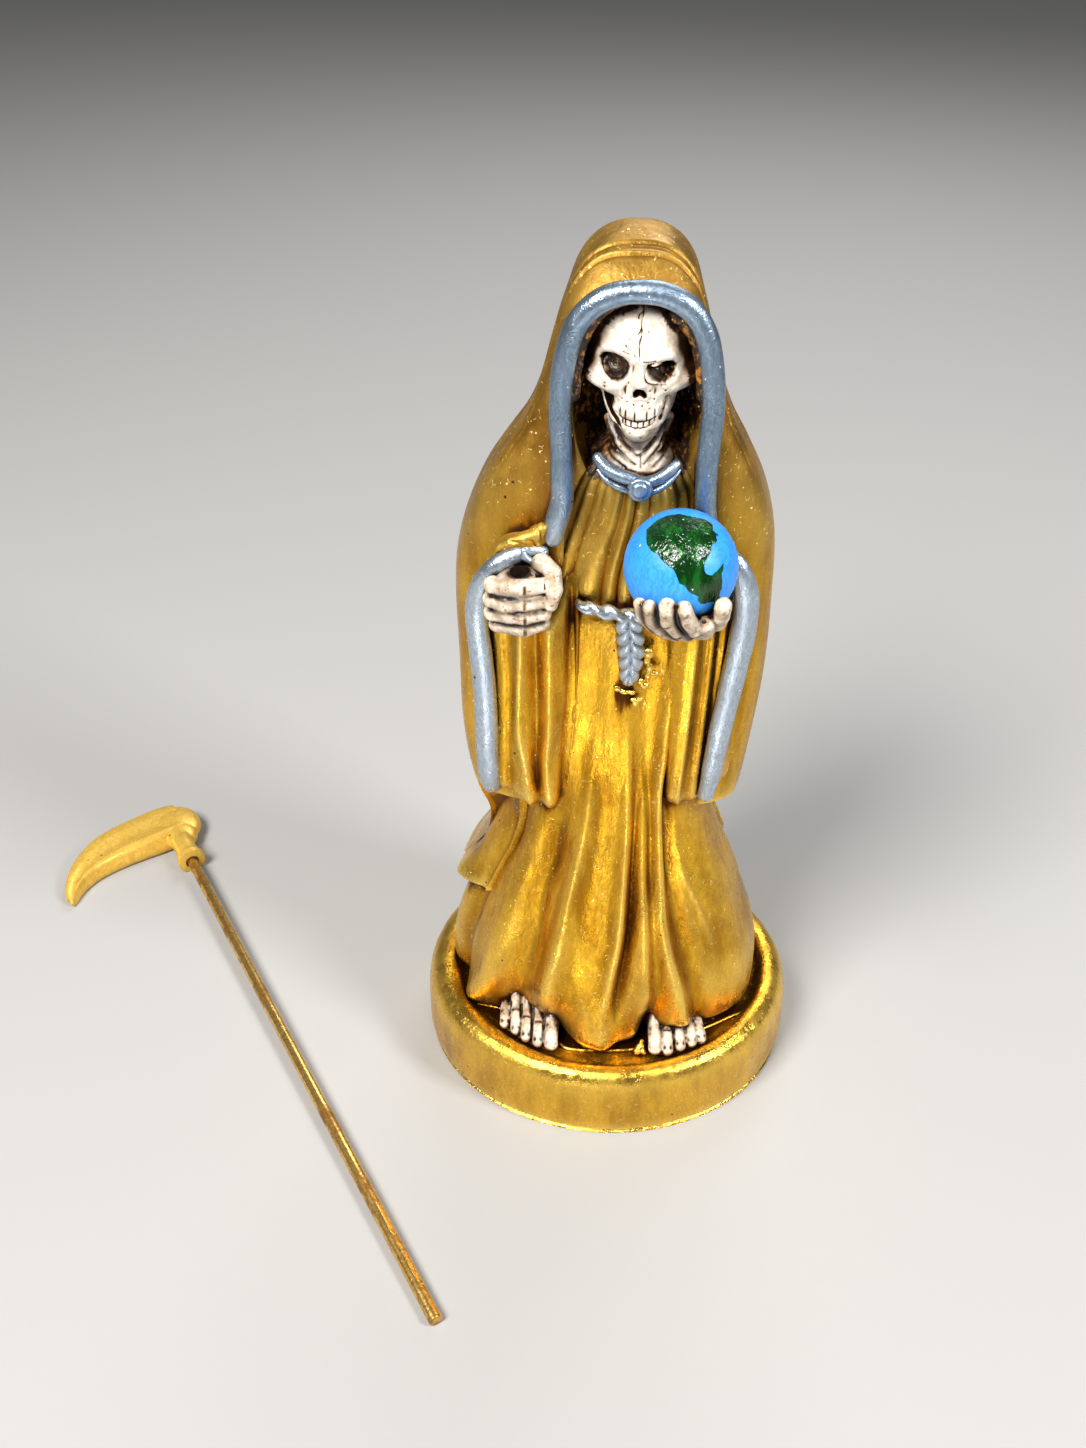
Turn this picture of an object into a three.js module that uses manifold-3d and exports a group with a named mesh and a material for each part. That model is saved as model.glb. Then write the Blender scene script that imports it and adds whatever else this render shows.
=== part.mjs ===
// A hooded skeleton saint, about 140 mm tall, cast in resin in one piece with its round
// plinth and hand painted, with its loose scythe lying on the table beside it.
// Millimetres, +Z up. The figure faces -Y and the origin is the centre of the plinth's underside.
import * as THREE from 'three';
import { mergeVertices } from 'three/addons/utils/BufferGeometryUtils.js';
import Module from 'manifold-3d';

const wasm = await Module();
wasm.setup();

// Driving dimensions
const HEIGHT = 140;
const PLINTH_WIDTH = 62.6;
const PLINTH_DEPTH = 58.2;
const RIM_TOP = 13.2;
const GROUND = 11.7;
const CLOAK_SIDE_HEM = 52.5;
const CLOAK_BACK_HEM = 29;
const HOOD_FRONT = -9.5;
const HOOD_TRIM_RADIUS = 1.5;
const SLEEVE_TRIM_RADIUS = 1.7;
const GLOBE_RADIUS = 7.6;
const GLOBE_CENTRE = [8.4, -18.5, 100.8];
const FIST_CENTRE = [-12.9, -15.6, 93.8];
const HEAD_CENTRE = [2, -2.5];
const BONE = 1.25;
const ROD_RADIUS = 1.05;
const ROD_LENGTH = 121;
const ROD_GAP = 0.3;
const BORE_RADIUS = ROD_RADIUS + ROD_GAP;
const ROD_FOOT = [-22.2, -65.8];
const ROD_HEADING = 122.2;

const FACET_TOLERANCE = 0.05;
const AROUND = 2 * Math.PI;
const degrees = THREE.MathUtils.degToRad;

// A smooth curve through [position, value] knots, used for every profile of width or depth.
function profile(knots) {
  const slope = (i) => {
    const low = knots[Math.max(i - 1, 0)];
    const high = knots[Math.min(i + 1, knots.length - 1)];
    return (high[1] - low[1]) / (high[0] - low[0]);
  };
  return (s) => {
    if (s <= knots[0][0]) return knots[0][1];
    const i = knots.findIndex((knot) => knot[0] > s) - 1;
    if (i < 0) return knots[knots.length - 1][1];
    const [s0, v0] = knots[i];
    const [s1, v1] = knots[i + 1];
    const run = s1 - s0;
    const t = (s - s0) / run;
    const a = slope(i) * run;
    const b = slope(i + 1) * run;
    return (2 * t ** 3 - 3 * t ** 2 + 1) * v0 + (t ** 3 - 2 * t ** 2 + t) * a
      + (3 * t ** 2 - 2 * t ** 3) * v1 + (t ** 3 - t ** 2) * b;
  };
}

const evenly = (from, to, count) => (
  Array.from({ length: count }, (_, i) => from + ((to - from) * i) / (count - 1)));
const ease = (low, high, s) => THREE.MathUtils.smoothstep(s, low, high);
const bell = (s, width) => Math.exp(-((s / width) ** 2));
const mix = THREE.MathUtils.lerp;

// A closed mesh with only positions, its seams merged and its empty triangles dropped.
function weld(geometry) {
  const bare = new THREE.BufferGeometry();
  bare.setAttribute('position', geometry.getAttribute('position'));
  bare.setIndex(geometry.index);
  const merged = mergeVertices(bare, 1e-4);
  const index = merged.index.array;
  const kept = [];
  for (let i = 0; i < index.length; i += 3) {
    const [a, b, c] = [index[i], index[i + 1], index[i + 2]];
    if (a !== b && b !== c && c !== a) kept.push(a, b, c);
  }
  merged.setIndex(kept);
  return merged;
}

// A boolean solid from a geometry, turned right side out if it was built inside out.
function solid(geometry) {
  const mesh = weld(geometry);
  const points = mesh.getAttribute('position');
  const index = mesh.index.array;
  const [a, b, c] = [new THREE.Vector3(), new THREE.Vector3(), new THREE.Vector3()];
  let volume = 0;
  for (let i = 0; i < index.length; i += 3) {
    a.fromBufferAttribute(points, index[i]);
    b.fromBufferAttribute(points, index[i + 1]);
    c.fromBufferAttribute(points, index[i + 2]);
    volume += a.dot(b.cross(c));
  }
  const triVerts = Uint32Array.from(index);
  if (volume < 0) {
    for (let i = 0; i < triVerts.length; i += 3) {
      [triVerts[i + 1], triVerts[i + 2]] = [triVerts[i + 2], triVerts[i + 1]];
    }
  }
  const vertProperties = Float32Array.from(points.array);
  return new wasm.Manifold(new wasm.Mesh({ numProp: 3, vertProperties, triVerts }));
}

const joined = (solids) => solids.reduce((whole, next) => whole.add(next));

// The outer skin alone: resin fills any small pocket that fingers or folds close in.
function solidThroughout(manifold) {
  return manifold.decompose().reduce((most, next) => (next.volume() > most.volume() ? next : most));
}

// A closed loft through rings of points, capped by a fan at each end.
function loft(rings) {
  const count = rings[0].length;
  const positions = [];
  const index = [];
  const middle = (ring) => ring[0].map((_, k) => ring.reduce((sum, p) => sum + p[k], 0) / count);
  rings.forEach((ring) => ring.forEach((p) => positions.push(...p)));
  positions.push(...middle(rings[0]), ...middle(rings[rings.length - 1]));
  const last = (rings.length - 1) * count;
  const [bottom, top] = [rings.length * count, rings.length * count + 1];
  for (let i = 0; i < count; i++) {
    const j = (i + 1) % count;
    for (let r = 0; r < last; r += count) {
      index.push(r + i, r + j, r + count + j, r + i, r + count + j, r + count + i);
    }
    index.push(bottom, j, i, top, last + i, last + j);
  }
  const geometry = new THREE.BufferGeometry();
  geometry.setAttribute('position', new THREE.Float32BufferAttribute(positions, 3));
  geometry.setIndex(index);
  return geometry;
}

// A round roll of one radius along points.
function roll(points, radius, steps, sides = 6) {
  const path = new THREE.CatmullRomCurve3(points.map((p) => new THREE.Vector3(...p)));
  const section = new THREE.Shape(evenly(0, AROUND * (1 - 1 / sides), sides).map((angle) => (
    new THREE.Vector2(radius * Math.cos(angle), radius * Math.sin(angle)))));
  return solid(new THREE.ExtrudeGeometry(section, { steps, extrudePath: path, bevelEnabled: false }));
}

function ball(centre, radii, around = 10, up = 6) {
  const [rx, ry, rz] = Array.isArray(radii) ? radii : [radii, radii, radii];
  const sphere = new THREE.SphereGeometry(1, around, up);
  sphere.rotateX(Math.PI / 2).scale(rx, ry, rz).translate(...centre);
  return solid(sphere);
}

// A bone or finger segment between two points.
function capsule(from, to, radius, around = 5) {
  const [a, b] = [new THREE.Vector3(...from), new THREE.Vector3(...to)];
  const along = b.clone().sub(a);
  const shape = new THREE.CapsuleGeometry(radius, along.length(), 2, around);
  const turn = new THREE.Quaternion().setFromUnitVectors(new THREE.Vector3(0, 1, 0), along.normalize());
  shape.applyQuaternion(turn).translate(...a.add(b).multiplyScalar(0.5).toArray());
  return solid(shape);
}

// Plinth: a thick oval slab with a raised, rounded rim round the ground that the figure stands on.
function plinth() {
  const [wide, deep] = [PLINTH_WIDTH / 2, PLINTH_DEPTH / 2];
  const outside = [[0.8, 0], [0, 2], [0, 8], [0.8, RIM_TOP - 1.4], [2.2, RIM_TOP]];
  const inside = [[3.8, 2.4, RIM_TOP], [5.1, 3.5, RIM_TOP - 0.9], [5.8, 4.2, GROUND]];
  const ring = (halfWidth, halfDepth, shift, z) => evenly(0, 351, 40).map((angle) => {
    const a = degrees(angle);
    return [shift + halfWidth * Math.sin(a), -halfDepth * Math.cos(a), z];
  });
  const outer = outside.map(([inset, z]) => ring(wide - inset, deep - inset, 0, z));
  const inner = inside.map(([side, front, z]) => ring(wide - side, deep - front, 0.5, z));
  return solid(loft([...outer, ...inner]));
}

// Gown: half widths and depths by height, with folds that fan out from the knees to the hem.
const gownSide = profile([
  [8, 24.9], [14, 25.5], [20, 25.3], [25, 24.4], [31, 22.4], [37, 20.2], [44, 17.4], [52, 15.4], [60, 14.2],
  [90, 12.4], [100, 11.2], [106, 9.6], [109.5, 7.6], [112, 5],
]);
const gownFront = profile([
  [8, 20.2], [14, 20.8], [20, 20.5], [25, 19.7], [31, 18.4], [37, 16.9], [44, 15.2], [52, 13.6], [60, 12.6],
  [75, 11.8], [90, 11.4], [100, 11], [106, 10.2], [109.5, 8.8], [112, 6.6],
]);
const gownBack = profile([
  [8, 21.5], [14, 22], [25, 21], [31, 19], [44, 15.5], [60, 13], [90, 11], [112, 2],
]);

// Each fold: its angle at the hem and at the knee, its width at the hem in degrees, and its height in mm.
const GOWN_FOLDS = [
  [-55, -43, 8, 2.0], [-38, -33, 7, -2.2], [-25, -13, 7, 1.8], [0, 9, 8, 1.0], [3.5, 14, 3, -2.2],
  [16, 19, 5, 0.6], [30, 28, 5, 1.6], [38, 34, 6, -1.3], [62, 56, 14, 0.6], [-73, -66, 7, -1.4],
  [-92, -86, 9, 0.8], [96, 90, 9, -0.8],
];
// The hem lifts over each foot and draws in beside it: angle and spread in degrees, and height in mm.
const HEM_LIFTS = [[-30, 12, 2.9], [29, 10, 2.8]];
const HEM_DRAWS = [[-20, 9, 2.9], [16.5, 5, 2.6], [-38, 8, 0.8]];

const gownHem = (angle) => GROUND + 0.3 + HEM_LIFTS.reduce((sum, [at, spread, rise]) => (
  sum + rise * bell(angle - at, spread)), 0);

function gownReach(angle, z) {
  const fan = 1 - ease(16, 50, z);
  const pleats = 0.5 * ease(58, 72, z) * Math.cos(degrees(angle) * 15);
  const folds = GOWN_FOLDS.reduce((sum, [hem, knee, width, height]) => {
    const at = mix(knee, hem, fan);
    return sum + height * (0.35 + 0.65 * fan) * bell(angle - at, width * mix(1.1, 1, fan));
  }, 0);
  const drawn = HEM_DRAWS.reduce((sum, [at, spread, depth]) => sum + depth * bell(angle - at, spread), 0);
  return folds * (1 - 0.8 * ease(56, 72, z)) + pleats - drawn * (1 - ease(13, 23, z));
}

function gown(lift = () => 0) {
  const angles = [...evenly(-172, -108, 6), ...evenly(-98, 98, 40), ...evenly(108, 172, 5)];
  const rises = [0, 0, 2.6, 7, 13, 20, 28, 38, 98];
  const rings = rises.map((rise, level) => angles.map((angle) => {
    const a = degrees(angle);
    const hem = gownHem(angle);
    const z = level === 0 ? GROUND - 1.5 : mix(hem + rise, GROUND + 0.3 + rise, ease(0, 20, rise));
    const depth = Math.cos(a) > 0 ? gownFront(z) : gownBack(z);
    const tuck = level === 0 ? 2.6 : 0.7 * (1 - ease(0, 2.6, rise));
    const reach = gownReach(angle, z) - tuck + lift(angle, z);
    return [(gownSide(z) + reach) * Math.sin(a), -(depth + reach) * Math.cos(a), z];
  }));
  return solid(loft(rings));
}

// The cape's corner at the figure's right knee, a layer of cloth on the gown that flares at its hem.
function capeCorner() {
  const cloth = gown((angle, z) => 1 + 2.2 * (1 - ease(30.5, 38, z)) * bell(angle + 97, 22));
  const [front, back] = [-7.4, 14];
  const edge = (x) => [[x, front, 33], [x, back, CLOAK_BACK_HEM - 0.5], [x, back, 58], [x, front, 58]];
  return cloth.intersect(solid(loft([edge(-34), edge(-8)])));
}

// Cloak: one heavy cloth from the hood over the shoulders and arms, longer at the back than at the sides.
const cloakSide = profile([
  [29, 24], [32, 23], [36, 21], [41, 19.2], [46, 18.8], [50, 20.2], [54, 21.3], [60, 22.2], [68, 22.9],
  [80, 23.3], [90, 23.2], [95, 22.8], [100, 21.8], [106, 19.6], [111, 16.8], [115, 14.3], [119, 12.6],
  [124, 11.2], [129, 9.9], [133, 8.4], [136.5, 6.4], [139, 3.9], [HEIGHT, 1.6],
]);
const cloakFront = profile([
  [29, 9], [52, 8.5], [80, 9.5], [95, 10], [106, 9.8], [120, 9.7], [131, 9.6], [134.5, 9.3], [137, 6.6],
  [139, 3.2], [HEIGHT, -0.6],
]);
const cloakBack = profile([
  [29, 22.6], [36, 20], [44, 17.8], [60, 16.6], [80, 16], [100, 15.2], [115, 14], [124, 13.4], [130, 12],
  [135, 9.2], [138.3, 5.6], [HEIGHT, 2.6],
]);
const cloakShift = profile([
  [29, -1.9], [36, -1], [50, -1.2], [60, -1.1], [80, -0.7], [95, -0.5], [106, 0.1], [115, 0.9], [126, 0.9],
  [HEIGHT, 1.2],
]);
const CLOAK_FOLDS = [[150, 10, 1.1], [-150, 10, 1.1], [180, 10, 1.2], [-122, 9, 0.8], [122, 9, 0.8]];

function cloakFoldReach(angle, z) {
  const hang = (1 - ease(60, 118, z)) * ease(70, 110, Math.abs(angle));
  return hang * CLOAK_FOLDS.reduce((sum, [at, width, height]) => {
    const away = Math.abs(((angle - at + 540) % 360) - 180);
    return sum + height * bell(away, width);
  }, 0);
}

// The section is a rounded box that closes towards the hood to an oval with a blunt, open front.
function cloakPoint(angle, z) {
  const a = degrees(angle);
  const isFront = Math.cos(a) > 0;
  const roundness = 2 / mix(2.7, isFront ? 6 : 2.1, ease(92, 112, z));
  const across = Math.sign(Math.sin(a)) * Math.abs(Math.sin(a)) ** roundness;
  const along = Math.sign(Math.cos(a)) * Math.abs(Math.cos(a)) ** roundness;
  const depth = isFront ? cloakFront(z) : cloakBack(z);
  const reach = cloakFoldReach(angle, z);
  return [cloakShift(z) + (cloakSide(z) + reach) * across, -(depth + reach) * along, z];
}

function cloak() {
  const levels = [0, 0.07, 0.16, 0.31, 0.47, 0.56, 0.65, 0.74, 0.81, 0.87, 0.92, 0.955, 0.98, 0.992, 1];
  const rings = levels.map((level) => evenly(-180, 170, 36).map((angle) => {
    const [drop, low] = angle > 0 ? [96, 128] : [74, 104];
    const hem = mix(CLOAK_SIDE_HEM, CLOAK_BACK_HEM, ease(drop, low, Math.abs(angle)));
    return cloakPoint(angle, mix(hem, HEIGHT, level));
  }));
  return solid(loft(rings));
}

// The space inside the hood and down between the cloak's front edges.
function hoodOpening() {
  const cave = ball([HEAD_CENTRE[0] - 0.2, HOOD_FRONT + 0.5, 118.5], [9.0, 11.5, 15.6], 16, 9);
  const slot = solid(loft([58, 86, 108].map((z) => {
    const [front, back] = [-30, HOOD_FRONT + 3.2];
    const [left, right] = [-8.8, 8.8].map((x) => x + mix(0.6, 1.8, ease(60, 104, z)));
    return [[left, front, z], [right, front, z], [right, back, z], [left, back, z]];
  })));
  return cave.add(slot);
}

// Silver roll along the hood's front edge, from one side of the chest over the brow to the other.
function hoodTrim() {
  const points = [
    [-9.4, -11, 99.6], [-7.9, -10.8, 105.5], [-8.1, -10.3, 112], [-8.3, -9.9, 118.5], [-7.8, -9.6, 124],
    [-6.3, -9.5, 129.6], [-3.9, -9.5, 132.8], [-0.9, -9.4, 134.3], [2, -9.4, 134.5], [5, -9.4, 134],
    [8, -9.5, 132.4], [10, -9.5, 129.4], [11.2, -9.6, 125], [11.7, -9.9, 119], [11.5, -10.3, 112],
    [11.5, -10.8, 106], [12.2, -11.2, 101.6],
  ];
  return roll(points, HOOD_TRIM_RADIUS, 24);
}

// One hanging sleeve: the pleated cloth below a forearm. Its outer edge carries a silver roll.
function sleeve({ left, right, bottom, top, front, pleats }) {
  const [centre, half] = [(left + right) / 2, (right - left) / 2];
  const rings = evenly(0, 1, 5).map((t) => {
    const z = mix(bottom, top, t);
    const closing = bell(t, 0.12);
    const edge = evenly(-1, 1, 2 * pleats + 1).map((across, i) => {
      const crown = 2.2 * (1 - Math.abs(across) ** 2.6) * (1 - 0.45 * closing);
      const pleat = (i % 2 ? 0.45 : -0.45) * (1 - 0.6 * t);
      return [centre + half * (1 - 0.2 * closing) * across, -(front + crown + pleat), z];
    });
    return [...edge, [centre + half, -2, z], [centre - half, -2, z]];
  });
  return solid(loft(rings));
}

function sleeves() {
  const fistSide = sleeve({ left: -19.6, right: -6.6, bottom: 54.6, top: 97, front: 10.6, pleats: 4 });
  const globeSide = sleeve({ left: 8.3, right: 17.6, bottom: 54.2, top: 95, front: 10.2, pleats: 3 });
  const fistTrim = [
    [-9.8, -12.6, 98.6], [-12.8, -13.4, 99], [-16, -13.6, 97.7], [-18.4, -13.2, 95.2], [-19.6, -12.4, 91.6],
    [-19.8, -11.8, 87.6], [-19.2, -11.6, 82], [-18.9, -11.5, 76], [-18.9, -11.3, 67], [-18.7, -10.8, 59.8],
    [-18, -10, 56],
  ];
  const globeTrim = [
    [15.6, -12.2, 99], [17.6, -12.4, 95.4], [18.1, -12, 90], [17.5, -11.6, 83.5], [16.8, -11.4, 76.6],
    [16.1, -11.2, 71], [15.4, -11, 65.5], [14.7, -10.6, 60], [14.2, -10, 56.2],
  ];
  const trims = [fistTrim, globeTrim].flatMap((points) => [
    roll(points, SLEEVE_TRIM_RADIUS, points.length + 3),
    ball(points[points.length - 1], SLEEVE_TRIM_RADIUS, 6, 4),
  ]);
  return [fistSide, globeSide, ...trims];
}

// Neck, with the rolled collar and its round clasp on the gown's neckline.
function collar() {
  const [cx] = HEAD_CENTRE;
  const neck = capsule([cx, -3.6, 106], [cx, -4, 114], 3, 6);
  const points = [
    [-5.6, -6.4, 111.4], [-4, -8.6, 110.7], [-1.8, -9.9, 110], [0.5, -10.4, 109.6], [2.7, -9.9, 110],
    [4.8, -8.6, 110.8], [6.4, -6.4, 111.6],
  ].map(([x, y, z]) => [cx + x, y, z]);
  const clasp = ball([cx + 0.6, -11, 109], [1.55, 0.9, 1.55], 8, 4);
  return [neck, roll(points, 0.85, 8, 6), clasp];
}

// Skull: how far the face and the sides of the head lie from an upright axis, by height.
const skullFront = profile([
  [113.4, 4.6], [114.3, 7], [115.8, 8], [117.3, 7.6], [118.6, 8.1], [120, 7.7], [121.4, 7.6], [122.8, 8],
  [124.4, 7.3], [125.8, 7.9], [127.5, 7.6], [129.6, 6.8], [131.8, 5], [133.2, 2.9], [134, 1],
]);
const skullSide = profile([
  [113.4, 1.4], [114.3, 2.2], [115.4, 3], [117, 3.9], [118.6, 4.6], [119.8, 5.2], [120.7, 6.4],
  [121.6, 7.1], [122.7, 7], [124.2, 6.4], [126, 6.2], [128, 6.2], [130, 5.7], [132, 4.6], [133.4, 2.6],
  [134, 1],
]);
// Eye sockets, nose and the hollows under the cheekbones: middle, measured from the axis, and radii.
const SKULL_HOLLOWS = [
  [[-3.45, -7.9, 124.4], [2.05, 2.9, 1.8]], [[3, -7.9, 123.9], [2, 2.9, 1.65]],
  [[-0.15, -8.3, 121.1], [1, 1.9, 1.25]],
  [[-5.6, -4.6, 118.5], [1.9, 4.4, 2.1]], [[5.6, -4.6, 118.5], [1.9, 4.4, 2.1]],
];

function skull() {
  const [cx, cy] = HEAD_CENTRE;
  const heights = [113.5, 114.4, 116.2, 118.4, 120, 121.2, 122.2, 123.3, 124.6, 126, 128.4, 131, 133, 133.9];
  const round = (s) => Math.sign(s) * Math.abs(s) ** 0.86;
  const head = solid(loft(heights.map((z) => [...evenly(-102, 102, 19), 180].map((angle) => {
    const a = degrees(angle);
    const reach = Math.cos(a) > 0 ? skullFront(z) : 6;
    return [cx + skullSide(z) * round(Math.sin(a)), cy - reach * round(Math.cos(a)), z];
  }))));
  const hollows = SKULL_HOLLOWS.map(([[x, y, z], radii]) => ball([cx + x, cy + y, z], radii, 9, 6));
  return head.subtract(joined(hollows));
}

// Right hand: four fingers closed one above the other round the bore for the scythe's rod.
function fist() {
  const [x, y, z] = FIST_CENTRE;
  const palm = ball([x - 0.1, y + 0.4, z], [4.6, 3.9, 5.1]);
  const fingers = [3.7, 1.25, -1.2, -3.6].map((rise) => (
    capsule([x - 3.4, y - 2.2, z + rise], [x + 1.7, y - 3.3, z + rise - 0.1], BONE + 0.15)));
  const thumb = capsule([x + 4, y - 0.4, z + 3.2], [x + 3.9, y - 2.6, z + 0.4], BONE);
  const wrist = capsule([x + 1, y + 1.5, z + 2.5], [x + 2.6, y + 5, z + 4], 2.4, 6);
  return joined([palm, ...fingers, thumb, wrist]);
}

function rodBore() {
  const [x, y, z] = FIST_CENTRE;
  const bore = new THREE.CylinderGeometry(BORE_RADIUS, BORE_RADIUS, 16, 8);
  bore.rotateX(Math.PI / 2).translate(x - 0.4, y - 0.2, z);
  return solid(bore);
}

// Left hand: palm up under the globe, with four fingers and a thumb curling up its front.
function openHand() {
  const [x, y, z] = GLOBE_CENTRE;
  const reach = GLOBE_RADIUS + 0.75;
  const onGlobe = (turn, rise, lift = 0) => {
    const [a, b] = [degrees(turn), degrees(rise)];
    const r = reach + lift;
    return [x + r * Math.sin(a) * Math.cos(b), y - r * Math.cos(a) * Math.cos(b), z + r * Math.sin(b)];
  };
  const digits = [[-41, -22], [-29, -15], [-16, -12], [-3, -11], [31, -12]].flatMap(([turn, rise]) => {
    const root = onGlobe(turn * 0.9, -76, 0.6);
    const knuckle = onGlobe(turn * 1.05, -46, 0.4);
    return [capsule(root, knuckle, BONE), capsule(knuckle, onGlobe(turn, rise), BONE - 0.1)];
  });
  const palm = ball([x + 0.8, y + 1.4, z - 8.4], [5.2, 6, 3], 9, 6);
  const wrist = capsule([x + 2, y + 4, z - 8], [x + 5.2, y + 8, z - 8.4], 2.6, 6);
  return joined([...digits, palm, wrist]);
}

function globe() {
  return ball(GLOBE_CENTRE, GLOBE_RADIUS, 18, 10);
}

// One bare foot: five toe bones fanned out from under the hem, the big toe first.
function foot(tips, heel) {
  return joined(tips.map(([x, y], i) => {
    const radius = i === 0 ? 1.3 : 1;
    const back = [mix(x, heel[0], 0.55), mix(y, heel[1], 0.55), GROUND + 2.8];
    return capsule([x, y + radius, GROUND + 0.6], back, radius, 4);
  }));
}

function feet() {
  const fistSide = [[-8.4, -23], [-10.6, -22.3], [-12.6, -21.2], [-14.4, -19.9], [-16.1, -18.4]];
  const globeSide = [[8.8, -22.9], [10.8, -22.7], [12.8, -21.7], [14.7, -20.6], [16.3, -19.4]];
  return [foot(fistSide, [-12.4, -8]), foot(globeSide, [11.6, -8])];
}

// Braided cord round the waist, with its end hanging down the front.
function belt() {
  const round = [[-5.4, -11.4, 90.2], [-2, -12.2, 89.8], [1.2, -12.4, 89.2], [4.4, -12.4, 88.6]];
  const waist = roll(round, 0.8, 4, 5);
  const section = [[-1, 0.4], [-0.7, -0.5], [0, -0.8], [0.7, -0.5], [1, 0.4], [0, 1.4]];
  const tail = solid(loft(evenly(0, 1, 9).map((down, i) => {
    const [x, y, z] = [mix(2.4, 2, down), -12.6, mix(89.2, 76.6, down)];
    const swell = i % 2 ? 1.5 : 1.05;
    return section.map(([across, out]) => [x + swell * across, y + swell * out, z]);
  })));
  return [waist, tail];
}

// The painted casting: everything but the scythe is one solid.
function casting() {
  const cloth = joined([gown(), capeCorner(), cloak().subtract(hoodOpening()), ...sleeves()]);
  const bones = joined([skull(), ...collar(), fist(), openHand(), globe(), ...feet()]);
  const whole = joined([plinth(), cloth, bones, hoodTrim(), ...belt()]);
  return solidThroughout(whole.subtract(rodBore()).simplify(FACET_TOLERANCE));
}

// Scythe head: a short thick sickle with a socket, cast in resin and lying on its side.
// Its own X runs along the rod and away from it, its own Y towards the point, and Z is up.
const SOCKET_RADIUS = 2.2;
const SOCKET_LENGTH = 5.2;
const SOCKET_HEIGHT = 2.4;
const HEAD_THICKNESS = 4.4;
const BLADE_BACK = [
  [19.2, -2.6], [19.5, 2.5], [18.5, 7.3], [17.6, 11.6], [16, 15.6], [13.4, 19], [10.2, 21.8], [6.6, 23.8],
  [3.1, 24.9], [0.4, 24.6],
];
const BLADE_EDGE = [
  [8.8, -2.4], [7.9, 2.8], [7.6, 7.4], [7.2, 11.4], [6.6, 14.8], [5.7, 17.6], [4.5, 19.8], [3.1, 21.5],
  [1.6, 22.8], [0, 24],
];
// Across a section: how far from the cutting edge to the back, and how high, both from 0 to 1.
const BLADE_SECTION = [
  [0.05, 0], [0.86, 0], [0.97, 0.2], [1, 0.5], [0.95, 0.8], [0.82, 0.96], [0.5, 1], [0.13, 0.98], [0.02, 0.5],
];
const SOCKET_OUTLINE = [
  [0, 0], [1.9, 0], [2.7, 0.5], [2.75, 1.6], [SOCKET_RADIUS, 2.6], [SOCKET_RADIUS, 5], [3, 10], [0, 10],
];

function scytheHead() {
  const last = BLADE_BACK.length - 1;
  const blade = solid(loft(BLADE_BACK.map(([bx, by], i) => {
    const [ex, ey] = BLADE_EDGE[i];
    const height = HEAD_THICKNESS * (1 - 0.5 * (i / last) ** 2.5);
    return BLADE_SECTION.map(([across, up]) => [mix(ex, bx, across), mix(ey, by, across), height * up]);
  })));
  const elbow = ball([13.4, -0.9, 2.3], [6, 5.2, 2.3], 12, 6);
  const socket = new THREE.LatheGeometry(SOCKET_OUTLINE.map(([x, y]) => new THREE.Vector2(x, y)), 10);
  socket.rotateZ(-Math.PI / 2).translate(0, 0, SOCKET_HEIGHT);
  const bore = new THREE.CylinderGeometry(BORE_RADIUS, BORE_RADIUS, 2 * (SOCKET_LENGTH + ROD_GAP), 8);
  bore.rotateZ(Math.PI / 2).translate(0, 0, SOCKET_HEIGHT);
  const table = new THREE.BoxGeometry(60, 60, 4);
  table.translate(0, 0, -2);
  return joined([blade, elbow, solid(socket)]).subtract(solid(bore)).subtract(solid(table));
}

function scytheRod() {
  const rod = new THREE.CylinderGeometry(ROD_RADIUS, ROD_RADIUS, ROD_LENGTH, 12);
  rod.rotateZ(Math.PI / 2).translate(ROD_LENGTH / 2, 0, 0);
  return rod;
}

function geometryOf(manifold) {
  const { vertProperties, triVerts } = manifold.getMesh();
  const geometry = new THREE.BufferGeometry();
  geometry.setAttribute('position', new THREE.Float32BufferAttribute(vertProperties, 3));
  geometry.setIndex(new THREE.Uint32BufferAttribute(triVerts, 1));
  return geometry;
}

function piece(name, geometry, material) {
  const mesh = new THREE.Mesh(geometry, new THREE.MeshStandardMaterial(material));
  mesh.name = name;
  return mesh;
}

const saint = new THREE.Group();
saint.name = 'santa_muerte';
const figureLook = { color: '#b8860b', roughness: 0.35, metalness: 0.8 };
saint.add(piece('figure', geometryOf(casting()), figureLook));

// The scythe lies flat on the table: the rod's foot touches it and the head rests on its socket.
const scythe = new THREE.Group();
scythe.position.set(ROD_FOOT[0], ROD_FOOT[1], 0);
scythe.rotation.z = degrees(ROD_HEADING);
const rodLook = { color: '#a87c32', roughness: 0.3, metalness: 0.9 };
const rod = piece('scythe_rod', scytheRod(), rodLook);
const socketMouth = ROD_LENGTH - SOCKET_LENGTH;
rod.position.z = ROD_RADIUS;
rod.rotation.y = -Math.atan2(SOCKET_HEIGHT - ROD_RADIUS, socketMouth);
const headLook = { color: '#cfa343', roughness: 0.5, metalness: 0.5 };
const head = piece('scythe_head', geometryOf(scytheHead()), headLook);
head.position.x = socketMouth;
scythe.add(rod, head);
saint.add(scythe);

export default saint;
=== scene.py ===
# A hooded skeleton saint: a resin casting about 140 mm tall on its round plinth, painted antique
# gold, silver, bone, blue and green, with its loose scythe lying on the table beside it.
import math
import bpy
import numpy as np
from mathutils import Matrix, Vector
from mathutils.bvhtree import BVHTree


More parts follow.
